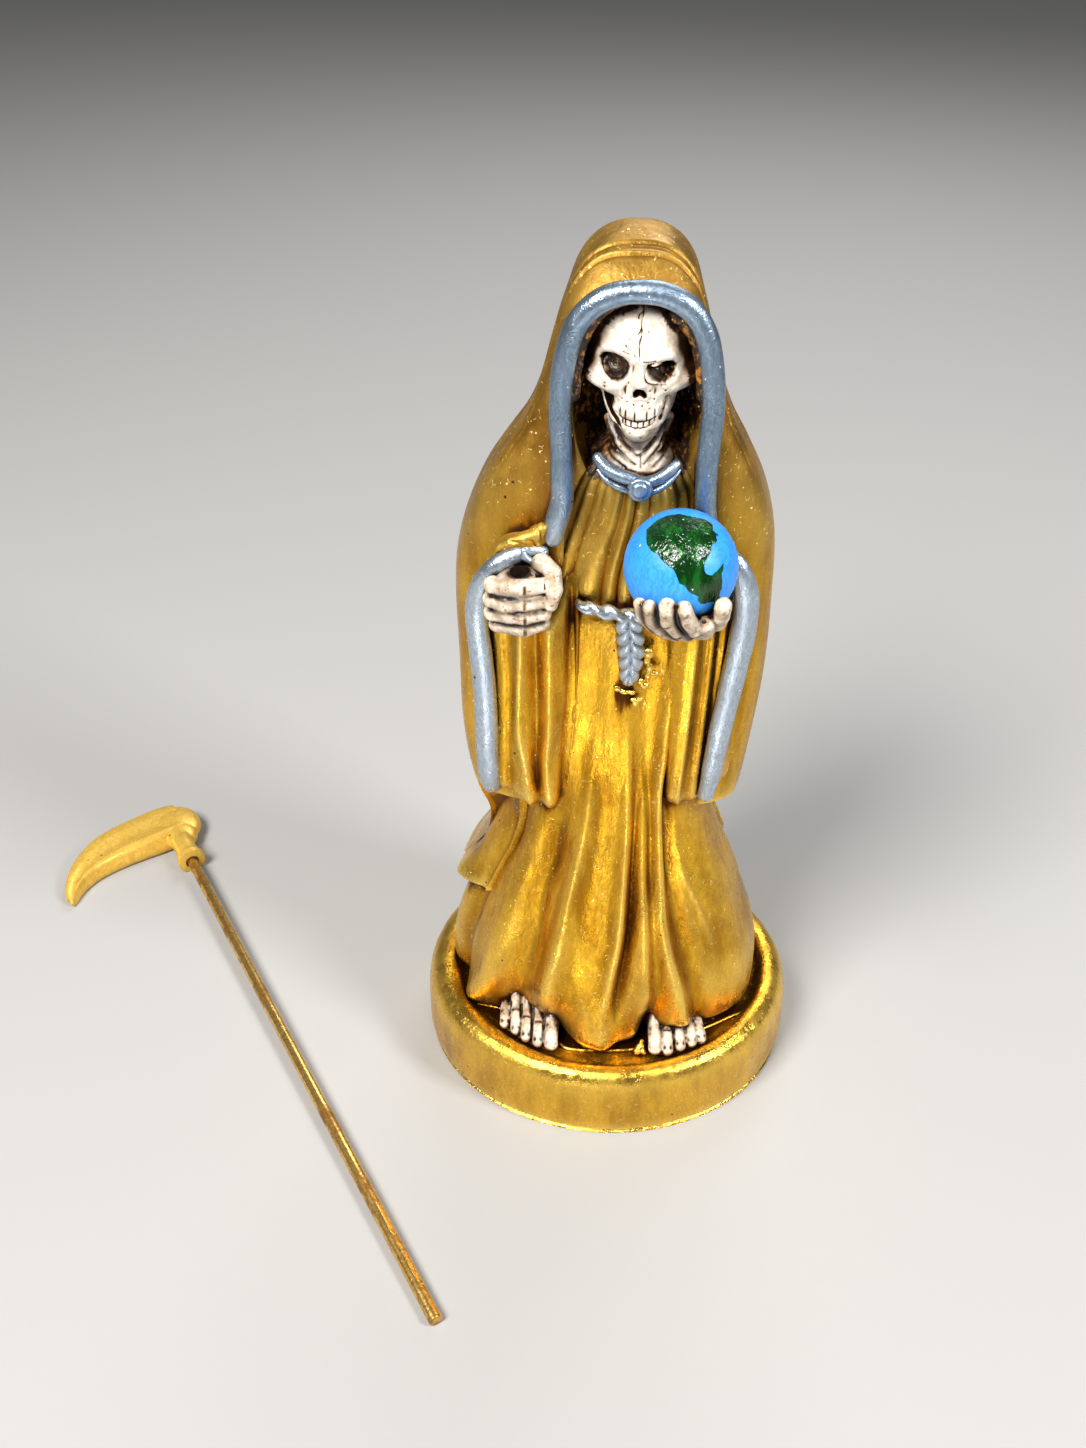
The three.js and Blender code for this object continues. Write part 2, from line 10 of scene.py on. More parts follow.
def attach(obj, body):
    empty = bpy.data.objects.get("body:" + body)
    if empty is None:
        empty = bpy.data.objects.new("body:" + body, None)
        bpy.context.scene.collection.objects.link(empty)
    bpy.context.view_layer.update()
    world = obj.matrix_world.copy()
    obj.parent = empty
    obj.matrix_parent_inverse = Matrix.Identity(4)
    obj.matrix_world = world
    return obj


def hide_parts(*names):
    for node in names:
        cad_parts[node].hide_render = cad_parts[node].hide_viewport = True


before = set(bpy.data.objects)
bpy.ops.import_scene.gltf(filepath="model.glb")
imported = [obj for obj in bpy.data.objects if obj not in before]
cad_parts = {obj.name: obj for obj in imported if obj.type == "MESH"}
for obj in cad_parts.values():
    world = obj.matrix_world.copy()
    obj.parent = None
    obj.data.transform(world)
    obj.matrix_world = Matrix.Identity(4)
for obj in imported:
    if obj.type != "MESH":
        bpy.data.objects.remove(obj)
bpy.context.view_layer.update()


# The plain pale floor, the studio light and the photograph's camera, which looks down at the figure
# from a little above its head. A white card below the picture gives the gold its shine.
FLOOR_SIZE = 3
FLOOR_COLOUR = (0.36, 0.353, 0.343, 1)
LIGHT_AIM = Vector((0, 0, 0.08))
CARD_PLACE = (-0.012, -0.157, 0.004)
CARD_SIZE = (0.055, 0.135)
CARD_WATTS = 0.075
ROOM_COLOUR = (0.93, 0.95, 1, 1)
ROOM_STRENGTH = 0.12
CAMERA_PLACE = (0.0023, -0.1946, 0.1964)
CAMERA_TILT = math.radians(55.38)
CAMERA_TURN = math.radians(3.96)
SENSOR_WIDTH = 36
LENS = 37.29

bpy.ops.object.select_all(action="DESELECT")
bpy.ops.mesh.primitive_plane_add(size=FLOOR_SIZE)
floor = bpy.context.object
floor.name = "floor"
paper = bpy.data.materials.new("pale_paper")
paper.use_nodes = True
paper.node_tree.nodes["Principled BSDF"].inputs["Base Color"].default_value = FLOOR_COLOUR
paper.node_tree.nodes["Principled BSDF"].inputs["Roughness"].default_value = 0.9
floor.data.materials.append(paper)

for lamp, place, size, watts, tint in (
    ("window_light", (-0.3, -0.42, 0.62), 0.3, 10.5, (1, 0.985, 0.96)),
    ("fill_light", (0.45, -0.25, 0.45), 0.16, 4.2, (0.97, 0.985, 1)),
    ("back_light", (0.1, 0.5, 0.55), 0.35, 2.2, (1, 1, 1)),
):
    aim = (LIGHT_AIM - Vector(place)).to_track_quat("-Z", "Y").to_euler()
    bpy.ops.object.light_add(type="AREA", location=place, rotation=aim)
    light = bpy.context.object
    light.name = lamp
    light.data.size = size
    light.data.energy = watts
    light.data.color = tint
bpy.ops.object.light_add(type="AREA", location=CARD_PLACE, rotation=(math.pi, 0, 0))
card = bpy.context.object
card.name = "white_card"
card.visible_camera = False
card.data.shape = "RECTANGLE"
card.data.size, card.data.size_y = CARD_SIZE
card.data.energy = CARD_WATTS
world = bpy.data.worlds.new("studio")
world.use_nodes = True
world.node_tree.nodes["Background"].inputs["Color"].default_value = ROOM_COLOUR
world.node_tree.nodes["Background"].inputs["Strength"].default_value = ROOM_STRENGTH
bpy.context.scene.world = world
bpy.context.scene.view_settings.view_transform = "Standard"

bpy.ops.object.camera_add(location=CAMERA_PLACE, rotation=(CAMERA_TILT, 0, CAMERA_TURN))
camera = bpy.context.object
camera.data.sensor_width = SENSOR_WIDTH
camera.data.lens = LENS
camera.data.clip_start = 0.005
bpy.context.scene.camera = camera


# The plinth is a thick oval slab with a raised, rounded rim round the ground that the feet stand on.
# It is cast with the figure. Every part of the casting is modelled in millimetres.
PLINTH_SIDE = 31.3
PLINTH_FRONT = 29.1
RIM_TOP = 13.2
GROUND = 11.7


def places_of(piece, value="co"):
    """Where each point of a piece is, or with "normal" which way it faces."""
    flat = np.empty(len(piece.data.vertices) * 3)
    piece.data.vertices.foreach_get(value, flat)
    return flat.reshape(-1, 3)


def move_to(piece, places):
    piece.data.vertices.foreach_set("co", np.asarray(places, float).ravel())
    piece.data.update()


def profile(*knots):
    """A smooth curve through (place, value) knots."""
    at, value = np.array(knots, float).T
    slope = np.empty_like(value)
    slope[1:-1] = (value[2:] - value[:-2]) / (at[2:] - at[:-2])
    slope[0] = (value[1] - value[0]) / (at[1] - at[0])
    slope[-1] = (value[-1] - value[-2]) / (at[-1] - at[-2])

    def curve(s):
        s = np.clip(s, at[0], at[-1])
        i = np.clip(np.searchsorted(at, s, "right") - 1, 0, len(at) - 2)
        run = at[i + 1] - at[i]
        t = (s - at[i]) / run
        return ((2 * t**3 - 3 * t**2 + 1) * value[i] + (t**3 - 2 * t**2 + t) * slope[i] * run
                + (3 * t**2 - 2 * t**3) * value[i + 1] + (t**3 - t**2) * slope[i + 1] * run)
    return curve


def route(points, count):
    """Evenly spread places along a smooth line through points."""
    points = np.array(points, float)
    reach = np.r_[0, np.cumsum(np.linalg.norm(np.diff(points, axis=0), axis=1))]
    at = np.linspace(0, reach[-1], count)
    return np.stack([profile(*zip(reach, axis))(at) for axis in points.T], axis=1)


def skin(name, around, along, bend, coat=None):
    """A grid primitive bent into a closed skin: bend takes two runs from 0 to 1 and gives x, y, z."""
    bpy.ops.object.select_all(action="DESELECT")
    bpy.ops.mesh.primitive_grid_add(x_subdivisions=around, y_subdivisions=along, size=2)
    piece = bpy.context.object
    piece.name = name
    across, up = (places_of(piece)[:, :2].T + 1) / 2
    move_to(piece, np.stack(bend(across, up), axis=1))
    bpy.ops.object.mode_set(mode="EDIT")
    bpy.ops.mesh.select_all(action="SELECT")
    bpy.ops.mesh.remove_doubles(threshold=0.002)
    bpy.ops.mesh.select_all(action="SELECT")
    bpy.ops.mesh.fill_holes(sides=0)
    bpy.ops.mesh.select_all(action="SELECT")
    bpy.ops.mesh.normals_make_consistent(inside=False)
    bpy.ops.object.mode_set(mode="OBJECT")
    piece.data.materials.append(coat or gold_paint)
    return piece


def ripple(x, y, z, size, seed=0):
    """Slow uneven swellings of about one size, from -1 to 1, as in hand-modelled clay."""
    total = np.zeros(np.broadcast(x, y, z).shape)
    for k in range(6):
        a, b, c = np.sin(np.array([1.0, 2.3, 3.9]) * (k + 1.7) + seed)
        total += np.sin((a * x + b * y + c * z) * 2.4 / size + 5.1 * k + seed)
    return total / 4


def feed(tree, sockets, values):
    """Joins other nodes' outputs to sockets, or sets plain values, by socket name or number."""
    for socket, value in values.items():
        if isinstance(value, bpy.types.NodeSocket):
            tree.links.new(value, sockets[socket])
        else:
            sockets[socket].default_value = value


def node(tree, kind, inputs, **settings):
    made = tree.nodes.new(kind)
    for key, value in settings.items():
        setattr(made, key, value)
    feed(tree, made.inputs, inputs)
    return made


def sums(tree, operation, *values):
    """Values added, multiplied or taken away, one after the other."""
    total = values[0]
    for value in values[1:]:
        total = node(tree, "ShaderNodeMath", {0: total, 1: value}, operation=operation).outputs[0]
    return total


def times(tree, *values):
    return sums(tree, "MULTIPLY", *values)


def vectors(tree, operation, inputs):
    return node(tree, "ShaderNodeVectorMath", inputs, operation=operation).outputs[0]


def ramp(tree, value, low, high, first=0.0, last=1.0):
    """A soft step: first up to low, last from high on."""
    return node(tree, "ShaderNodeMapRange", {0: value, 1: low, 2: high, 3: first, 4: last},
                interpolation_type="SMOOTHSTEP").outputs[0]


def over(tree, share, under, upper):
    """The upper colour laid on the under colour by a share."""
    colours = {socket: value if isinstance(value, bpy.types.NodeSocket) else (*value, 1)
               for socket, value in ((6, under), (7, upper))}
    return node(tree, "ShaderNodeMix", {0: share, **colours}, data_type="RGBA").outputs[2]


def coats(tree, colour, *layers):
    """Coats laid on a colour, one on the other: (where it lies, how thick it is, its colour)."""
    for where, thick, coat in layers:
        colour = over(tree, times(tree, where, thick), colour, coat)
    return colour


def spot(tree):
    return tree.nodes.new("ShaderNodeTexCoord").outputs["Object"]


def height_of(tree):
    return node(tree, "ShaderNodeSeparateXYZ", {0: spot(tree)}).outputs[2]


def noise(tree, place, scale, detail=3.0, rough=0.55, put="Fac"):
    inputs = {"Vector": place, "Scale": scale, "Detail": detail, "Roughness": rough}
    return node(tree, "ShaderNodeTexNoise", inputs).outputs[put]


def mapped(tree, place, scale, turn=(0, 0, 0)):
    return node(tree, "ShaderNodeMapping", {"Vector": place, "Scale": scale, "Rotation": turn}).outputs[0]


def recorded(tree, label):
    """A value kept at each point of the casting."""
    return node(tree, "ShaderNodeAttribute", {}, attribute_name=label).outputs["Fac"]


def effect(name, inputs, outputs):
    """A shader node group with plain number sockets."""
    tree = bpy.data.node_groups.new(name, "ShaderNodeTree")
    for socket, value in inputs.items():
        tree.interface.new_socket(socket, in_out="INPUT", socket_type="NodeSocketFloat").default_value = value
    for socket in outputs:
        tree.interface.new_socket(socket, in_out="OUTPUT", socket_type="NodeSocketFloat")
    return tree, tree.nodes.new("NodeGroupInput").outputs, tree.nodes.new("NodeGroupOutput").inputs


def placed(tree, group, **values):
    return node(tree, "ShaderNodeGroup", values, node_tree=group).outputs


def material(name):
    made = bpy.data.materials.new(name)
    made.use_nodes = True
    return made, made.node_tree, made.node_tree.nodes["Principled BSDF"].inputs


def dents(tree, shader, *steps):
    """Bumps one upon the other: (height, distance in metres, strength)."""
    for height, distance, strength in steps:
        bump = node(tree, "ShaderNodeBump", {"Height": height, "Distance": distance, "Strength": strength})
        if shader["Normal"].is_linked:
            tree.links.new(shader["Normal"].links[0].from_socket, bump.inputs["Normal"])
        tree.links.new(bump.outputs[0], shader["Normal"])


# Thin brown wash and painted shade: a film over hollows, and a thick dark rest in sheltered places,
# which is painted shade, and in fine creases, which is the paint's own wash.
wash_and_shade_effect, given, put = effect(
    "brown_wash_and_shade", {"Spread": 0.5, "Patches": 0.5, "Fine": 1.0}, ("Thick", "Film"))
t = wash_and_shade_effect
uneven = sums(t, "ADD", noise(t, spot(t), 420.0, 5.0, 0.65), noise(t, spot(t), 95.0))
uneven = times(t, sums(t, "SUBTRACT", uneven, 1.0), given["Patches"])
fine = sums(t, "ADD", recorded(t, "crease"), times(t, recorded(t, "hollow"), 0.5))
total = sums(t, "ADD", times(t, ramp(t, recorded(t, "occlusion_shade"), 0.28, 0.75), 1.15),
             times(t, fine, given["Fine"], 0.9), times(t, uneven, 2.2))
total = sums(t, "SUBTRACT", total, times(t, recorded(t, "crest"), 0.45))
total = sums(t, "ADD", total, sums(t, "SUBTRACT", given["Spread"], 0.5))
feed(t, put, {"Thick": ramp(t, total, 0.25, 0.85), "Film": ramp(t, total, -0.1, 0.7)})

# Marks of a stiff brush that crossed itself, cloudy changes of sheen, and a fine grain.
brush_effect, given, put = effect("brush_marks", {"Size": 1.0, "Clouds": 1.0}, ("Height", "Tone", "Sheen"))
t = brush_effect
sway = vectors(t, "SUBTRACT", {0: noise(t, spot(t), 330.0, 2.0, put="Color"), 1: (0.5, 0.5, 0.5)})
bent = vectors(t, "ADD", {0: spot(t), 1: vectors(t, "SCALE", {0: sway, "Scale": 0.0035})})
bent = vectors(t, "SCALE", {0: bent, "Scale": given["Size"]})
one_way, other_way = [noise(t, mapped(t, bent, (2700.0, 2700.0, 430.0), turn), 1.0)
                      for turn in ((0.3, 0.75, 0.2), (-0.2, -0.8, 0.5))]
which = ramp(t, noise(t, spot(t), 170.0, 2.0), 0.44, 0.56)
strokes = sums(t, "ADD", times(t, one_way, which), times(t, other_way, sums(t, "SUBTRACT", 1.0, which)))
grain = times(t, noise(t, spot(t), 3800.0, 2.0), 0.35)
cloud = sums(t, "SUBTRACT", noise(t, spot(t), 210.0, 5.0, 0.6), 0.5)
feed(t, put, {
    "Height": sums(t, "ADD", strokes, grain),
    "Tone": ramp(t, strokes, 0.36, 0.66),
    "Sheen": ramp(t, times(t, cloud, given["Clouds"]), -0.16, 0.16),
})

# Small crumbs of paint and pits, in a share of the cells of a grid of cells.
speck_effect, given, put = effect("specks", {"Scale": 900.0, "Share": 0.2, "Size": 0.25}, ("Mask",))
t = speck_effect
shaken = vectors(t, "SCALE", {0: noise(t, spot(t), 4000.0, 1.0, put="Color"), "Scale": 0.0004})
shaken = vectors(t, "ADD", {0: spot(t), 1: shaken})
cells = node(t, "ShaderNodeTexVoronoi", {"Vector": shaken, "Scale": given["Scale"]}).outputs
shares = node(t, "ShaderNodeSeparateColor", {0: cells["Color"]}).outputs
big = times(t, given["Size"], sums(t, "ADD", shares[1], 0.3))
feed(t, put, {"Mask": times(t, sums(t, "LESS_THAN", cells["Distance"], big),
                            sums(t, "LESS_THAN", shares[0], given["Share"]))})

# Hair-thin curly scratches, in broken lengths, where a slow noise crosses its middle.
scratch_effect, given, put = effect("fine_scratches", {"Scale": 600.0, "Width": 0.02}, ("Mask",))
t = scratch_effect
from_middle = sums(t, "ABSOLUTE", sums(t, "SUBTRACT", noise(t, spot(t), given["Scale"], 1.0), 0.5), 0.0)
lengths = ramp(t, noise(t, mapped(t, spot(t), (1.0, 1.0, 1.0), (0.7, 0.4, 1.1)), 1300.0, 1.0), 0.55, 0.62)
feed(t, put, {"Mask": times(t, sums(t, "LESS_THAN", from_middle, given["Width"]), lengths)})

# Antique gold paint: light on crests, partly rubbed wear and partly painted highlight; brown in the
# folds, a wash and painted shade; duller towards the hood.
gold_paint, t, shader = material("gold_paint")
wash_and_shade = placed(t, wash_and_shade_effect, Spread=0.5, Patches=0.22, Fine=1.0)
brush = placed(t, brush_effect, Size=1.0, Clouds=1.0)
crumbs = placed(t, speck_effect, Scale=1500.0, Share=0.1, Size=0.2)["Mask"]
pits = placed(t, speck_effect, Scale=900.0, Share=0.04, Size=0.16)["Mask"]
scratches = placed(t, scratch_effect, Scale=520.0, Width=0.009)["Mask"]
height = height_of(t)
dull = ramp(t, height, 0.075, 0.118)
# Lighter gold on crests above the plinth's foot: partly rubbed wear, partly a painted highlight.
rubbed_and_highlit = times(t, recorded(t, "crest"), ramp(t, height, 0.001, 0.005),
               sums(t, "SUBTRACT", 1.0, times(t, dull, 0.6)))
# Slow upright streaks of darker and lighter gold: partly uneven paint, partly painted reflections of the folds.
# They also dent the surface.
drift_and_reflection = noise(t, mapped(t, spot(t), (230.0, 230.0, 55.0)), 1.0, 4.0, 0.6)
# Brown to near-black in the hood, on its lumps and round the neck: partly a real crust, partly painted shade.
stain_and_shade = times(t, ramp(t, recorded(t, "stain_and_shade"), 0.2, 0.8), ramp(t, height, 0.1, 0.104))
crust_and_shade = over(t, ramp(t, noise(t, spot(t), 900.0, 4.0, 0.7), 0.5, 0.66),
             (0.012, 0.004, 0.001), (0.38, 0.14, 0.012))
hood_gold = over(t, brush["Sheen"], (0.125, 0.055, 0.004), (0.22, 0.108, 0.012))
colour = coats(
    t, over(t, ramp(t, drift_and_reflection, 0.34, 0.64), (0.44, 0.205, 0.006), (0.80, 0.45, 0.03)),
    # A painted highlight on broad ridges and on the chest.
    (recorded(t, "highlit_ridge"), 0.6, (0.99, 0.70, 0.14)),
    (sums(t, "SUBTRACT", 1.0, brush["Tone"]), 0.24, (0.34, 0.15, 0.003)),
    # Painted shade in broad valleys.
    (recorded(t, "shaded_valley"), 0.9, (0.17, 0.062, 0.001)),
    (dull, 0.8, hood_gold),
    (rubbed_and_highlit, 0.6, (0.97, 0.67, 0.16)),
    (scratches, 0.5, (1.0, 0.80, 0.32)),
    # The wash: the paint's own brown in creases, painted shade in sheltered places.
    (wash_and_shade["Film"], 0.9, (0.21, 0.07, 0.002)),
    (wash_and_shade["Thick"], 1, (0.07, 0.021, 0.001)),
    (stain_and_shade, 1, crust_and_shade),
    (crumbs, 1, (0.97, 0.72, 0.25)),
    (pits, 1, (0.05, 0.02, 0.004)))
feed(t, shader, {
    "Base Color": colour,
    "Metallic": sums(t, "SUBTRACT", ramp(t, stain_and_shade, 0, 1, 0.93, 0.2), times(t, dull, 0.3)),
    "Roughness": sums(t, "ADD", ramp(t, brush["Sheen"], 0, 1, 0.22, 0.37), times(t, dull, 0.17),
                      times(t, wash_and_shade["Thick"], 0.2)),
})
strokes = times(t, brush["Height"], ramp(t, dull, 0, 1, 1.0, 0.45))
dents(t, shader, (drift_and_reflection, 0.0011, 0.35), (strokes, 0.00012, 0.75), (scratches, 0.00008, 0.4))

# The slab's section from the middle of its underside, round the rim and over the ground:
# (share of its width, how far in from there, height).
rim_section = route([
    (0, 0, 0), (0.95, 0, 0), (1, 0.8, 0.25), (1, 0.3, 0.9), (1, 0.05, 2.0), (1, 0, 4), (1, 0, 8.2),
    (1, 0.25, 10.6), (1, 1.0, 12.2), (1, 2.1, 13.0), (1, 3.2, RIM_TOP), (1, 4.3, 13.05), (1, 5.2, 12.4),
    (1, 5.9, 11.8), (1, 6.9, GROUND - 0.05), (0.4, 0, GROUND), (0, 0, GROUND),
], 90)
rim_section[:, 0] = np.clip(rim_section[:, 0], 0, 1)


def plinth_bend(across, up):
    a = across * 2 * np.pi
    scale, inset, z = [np.interp(up, np.linspace(0, 1, len(rim_section)), axis) for axis in rim_section.T]
    narrow = np.where(inset > 2.2, 1 - 0.3 * np.abs(np.cos(a)), 1)
    side = PLINTH_SIDE * scale - inset
    front = PLINTH_FRONT * scale - inset * narrow
    shift = 0.5 * np.clip((inset - 3) / 2, 0, 1)
    bump = 0.12 * ripple(31 * np.sin(a), 29 * np.cos(a), z, 9) * np.clip(z, 0, 1)
    return shift + (side + bump) * np.sin(a), -(front + bump) * np.cos(a), z + 0.4 * bump * (z > 10)


plinth = skin("plinth", 240, 90, plinth_bend)


# The gown hangs in pleats from the neckline, is drawn in at the belt and fans out in deep folds
# from the knees to the hem, which lifts over the two bare feet.
GOWN_HEIGHT = 101.6
UNDERSIDE = 0.06
gown_side = profile(
    (8, 24.9), (14, 25.5), (20, 25.3), (25, 24.4), (31, 22.4), (37, 20.2), (44, 17.4), (52, 15.4), (60, 14.2),
    (90, 12.4), (100, 11.2), (106, 9.6), (108.6, 8.2), (110.3, 6.6), (111.8, 5.0), (113.6, 2))
gown_front = profile(
    (8, 20.2), (14, 20.8), (20, 20.5), (25, 19.7), (31, 18.4), (37, 16.9), (44, 15.2), (52, 13.6),
    (60, 12.6), (75, 11.8), (90, 11.4), (100, 11.4), (106, 11.2), (108.2, 10.9), (109.6, 10.0), (111, 8.2),
    (112.4, 6), (113.6, 3))
gown_back = profile((8, 21.5), (14, 22), (25, 21), (31, 19), (44, 15.5), (60, 13), (90, 11), (113.6, 2))

# Each fold: its line as (height, angle) knots, its spread in degrees, and its height at those knots.
gown_folds = [
    (((12, -57), (14, -56), (22, -47), (32, -46), (41, -45), (50, -43)), 7.5, (2.0, 2.2, 1.7, 1.2, 0.9, 0.5)),
    (((12, -38), (22, -35), (31, -33), (39, -34), (48, -31), (58, -28)), 7.0,
     (-1.6, -2.3, -2.3, -2.0, -1.5, -0.4)),
    (((12, -24), (24, -20.5), (32, -18.5), (42, -17), (54, -13), (64, -12)), 4.6,
     (1.2, 1.7, 1.8, 1.6, 1.0, 0.3)),
    (((12, -5), (24, -6), (40, -5), (60, -2)), 6.5, (1.5, 0.0, -0.4, -0.2)),
    (((12, -2), (17, -2)), 8, (1.0, 0.5)),
    (((12, 1), (20, 1.5), (31, 5), (43, 8), (54, 10), (66, 11)), 3.4, (1.2, 0.7, 1.1, 1.3, 0.8, 0.3)),
    (((17, 3.5), (20, 4), (27, 7), (34, 10), (42, 12), (52, 14.5), (60, 16)), 2.5,
     (-0.2, -1.2, -1.9, -1.7, -1.3, -0.7, -0.2)),
    (((20, 14), (28, 16), (37, 17), (46, 18.5), (56, 20)), 3.4, (0.3, 0.9, 1.0, 0.7, 0.3)),
    (((14, 17), (19, 20), (28, 20.5), (36, 20.5), (46, 23), (56, 24.5)), 2.6,
     (-0.8, -0.8, -0.9, -0.8, -0.7, -0.3)),
    (((12, 31), (19, 29), (27, 26), (36, 24), (44, 27), (54, 28), (67, 32), (77, 36), (85, 41)), 4.2,
     (1.6, 1.9, 1.7, 1.5, 1.5, 1.4, 1.1, 0.9, 0.5)),
    (((14, 39), (23, 35), (35, 33), (45, 34), (56, 36)), 4.4, (-0.5, -1.1, -1.5, -1.5, -1.2)),
    (((12, 62), (30, 60), (46, 56)), 13, (0.8, 0.7, 0.4)),
    (((12, -73), (30, -70), (46, -62)), 5.5, (-1.1, -1.3, -0.7)),
    (((12, -88), (46, -84)), 8, (1.0, 0.6)),
    (((30, 47), (36, 44), (42, 41)), 1.1, (0.28, 0.4, 0.28)),
    (((30, -67), (36, -64), (43, -61)), 1.1, (0.3, 0.4, 0.2)),
]
gown_folds = [(profile(*line), spread, profile(*zip([z for z, _ in line], tall)), line[0][0], line[-1][0])
              for line, spread, tall in gown_folds]
# Where the hem lifts over the feet and where it is drawn in: (angle, spread, millimetres).
hem_lifts = ((-30, 12, 2.9), (29, 10, 2.8))
hem_draws = ((-22.5, 7.2, 3.1), (17.6, 4.2, 2.7), (-38, 8, 0.8))


def ease(low, high, s):
    t = np.clip((s - low) / (high - low), 0, 1)
    return t * t * (3 - 2 * t)


def bell(s, width):
    return np.exp(-((s / width) ** 2))


def gown_reach(angle, z):
    total = np.zeros_like(z)
    for line, spread, tall, low, high in gown_folds:
        fade = ease(low - 3, low, z) * (1 - ease(high, high + 9, z))
        total += tall(z) * fade * bell(angle - line(z), spread)
    pleat_angle = angle * (1.1 - 0.008 * (z - 90)) + 0.05 * (z - 95) * np.sin(angle * 0.11)
    pleats = np.abs(np.sin(pleat_angle * 0.2 + 0.9 * np.sin(angle * 0.13))) ** 0.8 - 0.6
    total += 0.9 * pleats * ease(86, 94, z) * (1 - 0.35 * ease(100, 109, z))
    total += 0.3 * (np.abs(np.sin(angle * 0.33)) - 0.5) * ease(101, 107, z)
    total += 0.35 * np.sin(angle * 0.19 + 1) * ease(56, 62, z) * (1 - ease(82, 88, z))
    drawn = sum(depth * bell(angle - at, spread) for at, spread, depth in hem_draws)
    return total - drawn * (1 - ease(13, 23, z)) - 0.5 * bell(z - 89.2, 1.3)


def gown_bend(across, up, lift=None):
    s = 2 * across - 1
    angle = s * (92 + 88 * s * s)
    a = np.radians(angle)
    rise = np.where(up < UNDERSIDE, 0, (up - UNDERSIDE) / (1 - UNDERSIDE) * GOWN_HEIGHT)
    under = np.clip(1 - up / UNDERSIDE, 0, 1)
    hem_rise = sum(tall * bell(angle - at, spread) for at, spread, tall in hem_lifts)
    hem = GROUND + 0.3 + hem_rise
    z = hem + rise + (GROUND + 0.3 - hem) * ease(0, 20, rise)
    z = z - under * (hem_rise + 1.8)
    lip = 1.3 * (1 - ease(0, 2.4, rise)) ** 2
    depth = np.where(np.cos(a) > 0, gown_front(z), gown_back(z))
    reach = gown_reach(angle, z) - lip - under * (2.6 + 0.6 * hem_rise)
    reach = reach + 0.13 * ripple(25 * np.sin(a), 25 * np.cos(a), z, 5, 2)
    if lift is not None:
        reach = reach + lift(angle, z)
    flat = 1 - 0.42 * ease(48, 60, z) * (1 - ease(98, 106, z)) * (np.cos(a) > 0)
    shift = 2.2 * ease(92, 107, z)
    deep = np.sign(np.cos(a)) * np.abs(np.cos(a)) ** flat
    return shift + (gown_side(z) + reach) * np.sin(a), -(depth + reach) * deep, z


gown = skin("gown", 300, 200, gown_bend)


# The cloak is one heavy cloth from the hood over the shoulders and arms. It ends above the knees at
# the sides, hangs lower at the back and turns out in a loose corner by the right knee.
CLOAK_SIDE_HEM = 52.5
CLOAK_BACK_HEM = 29
TOP = 140
DOME = 131
cloak_side = profile(
    (29, 24), (32, 23), (36, 21), (41, 19.2), (46, 18.8), (50, 20.2), (54, 21.3), (60, 22.2), (68, 22.9),
    (80, 23.3), (90, 23.2), (95, 22.8), (100, 21.8), (106, 19.6), (111, 16.8), (115, 14.3), (119, 12.6),
    (124, 11.2), (129, 9.9), (133, 8.8), (TOP, 8.6))
cloak_front = profile(
    (29, 9), (52, 8.5), (80, 9.5), (95, 10), (106, 9.8), (120, 9.7), (131, 9.7), (TOP, 9.6))
cloak_back = profile(
    (29, 22.6), (36, 20), (44, 17.8), (60, 16.6), (80, 16), (100, 15.2), (115, 14), (124, 13.4), (130, 12.2),
    (TOP, 10.4))
cloak_shift = profile(
    (29, -1.9), (36, -1), (50, -1.2), (60, -1.1), (80, -0.7), (95, -0.5), (106, 0.1), (115, 0.9), (126, 0.9),
    (TOP, 1.2))


def cloak_bend(across, up):
    s = 2 * across - 1
    angle = 180 * s
    a = np.radians(angle)
    drop = np.where(angle > 0, ease(96, 128, np.abs(angle)), ease(74, 104, np.abs(angle)))
    hem = CLOAK_SIDE_HEM + (CLOAK_BACK_HEM - CLOAK_SIDE_HEM) * drop
    t = np.clip((up - 0.02) / 0.98, 0, 1)
    dome = np.clip((t - 0.72) / 0.28, 0, 1)
    z = np.where(t < 0.72, hem + (DOME - hem) * t / 0.72, DOME + (TOP - DOME) * np.sin(dome * np.pi / 2))
    closing = np.sqrt(1 - np.clip((z - DOME) / (TOP - DOME), 0, 1) ** 2.2)
    front = np.cos(a) > 0
    squarer = ease(92, 112, z) * (1 - 0.8 * ease(DOME - 1, DOME + 5, z))
    roundness = 2 / (2.7 + (np.where(front, 6, 2.1) - 2.7) * squarer)
    wide = np.sign(np.sin(a)) * np.abs(np.sin(a)) ** roundness
    deep = np.sign(np.cos(a)) * np.abs(np.cos(a)) ** roundness
    hang = (1 - ease(60, 118, z)) * ease(70, 110, np.abs(angle))
    folds = sum(tall * bell((angle - at + 540) % 360 - 180, spread) for at, spread, tall in (
        (150, 10, 1.1), (-150, 10, 1.1), (180, 10, 1.2), (-122, 9, 0.8), (122, 9, 0.8)))
    reach = hang * folds - 0.8 * np.clip(1 - up / 0.02, 0, 1)
    reach = reach + 0.2 * ripple(22 * np.sin(a), 16 * np.cos(a), z, 10, 4) * (1 - ease(112, 126, z))
    x = cloak_shift(z) + (cloak_side(z) * closing + reach) * wide
    y = 1.1 * ease(DOME, TOP, z) - (np.where(front, cloak_front(z), cloak_back(z)) * closing + reach) * deep
    return x, y, z


cloak = skin("cloak", 320, 250, cloak_bend)
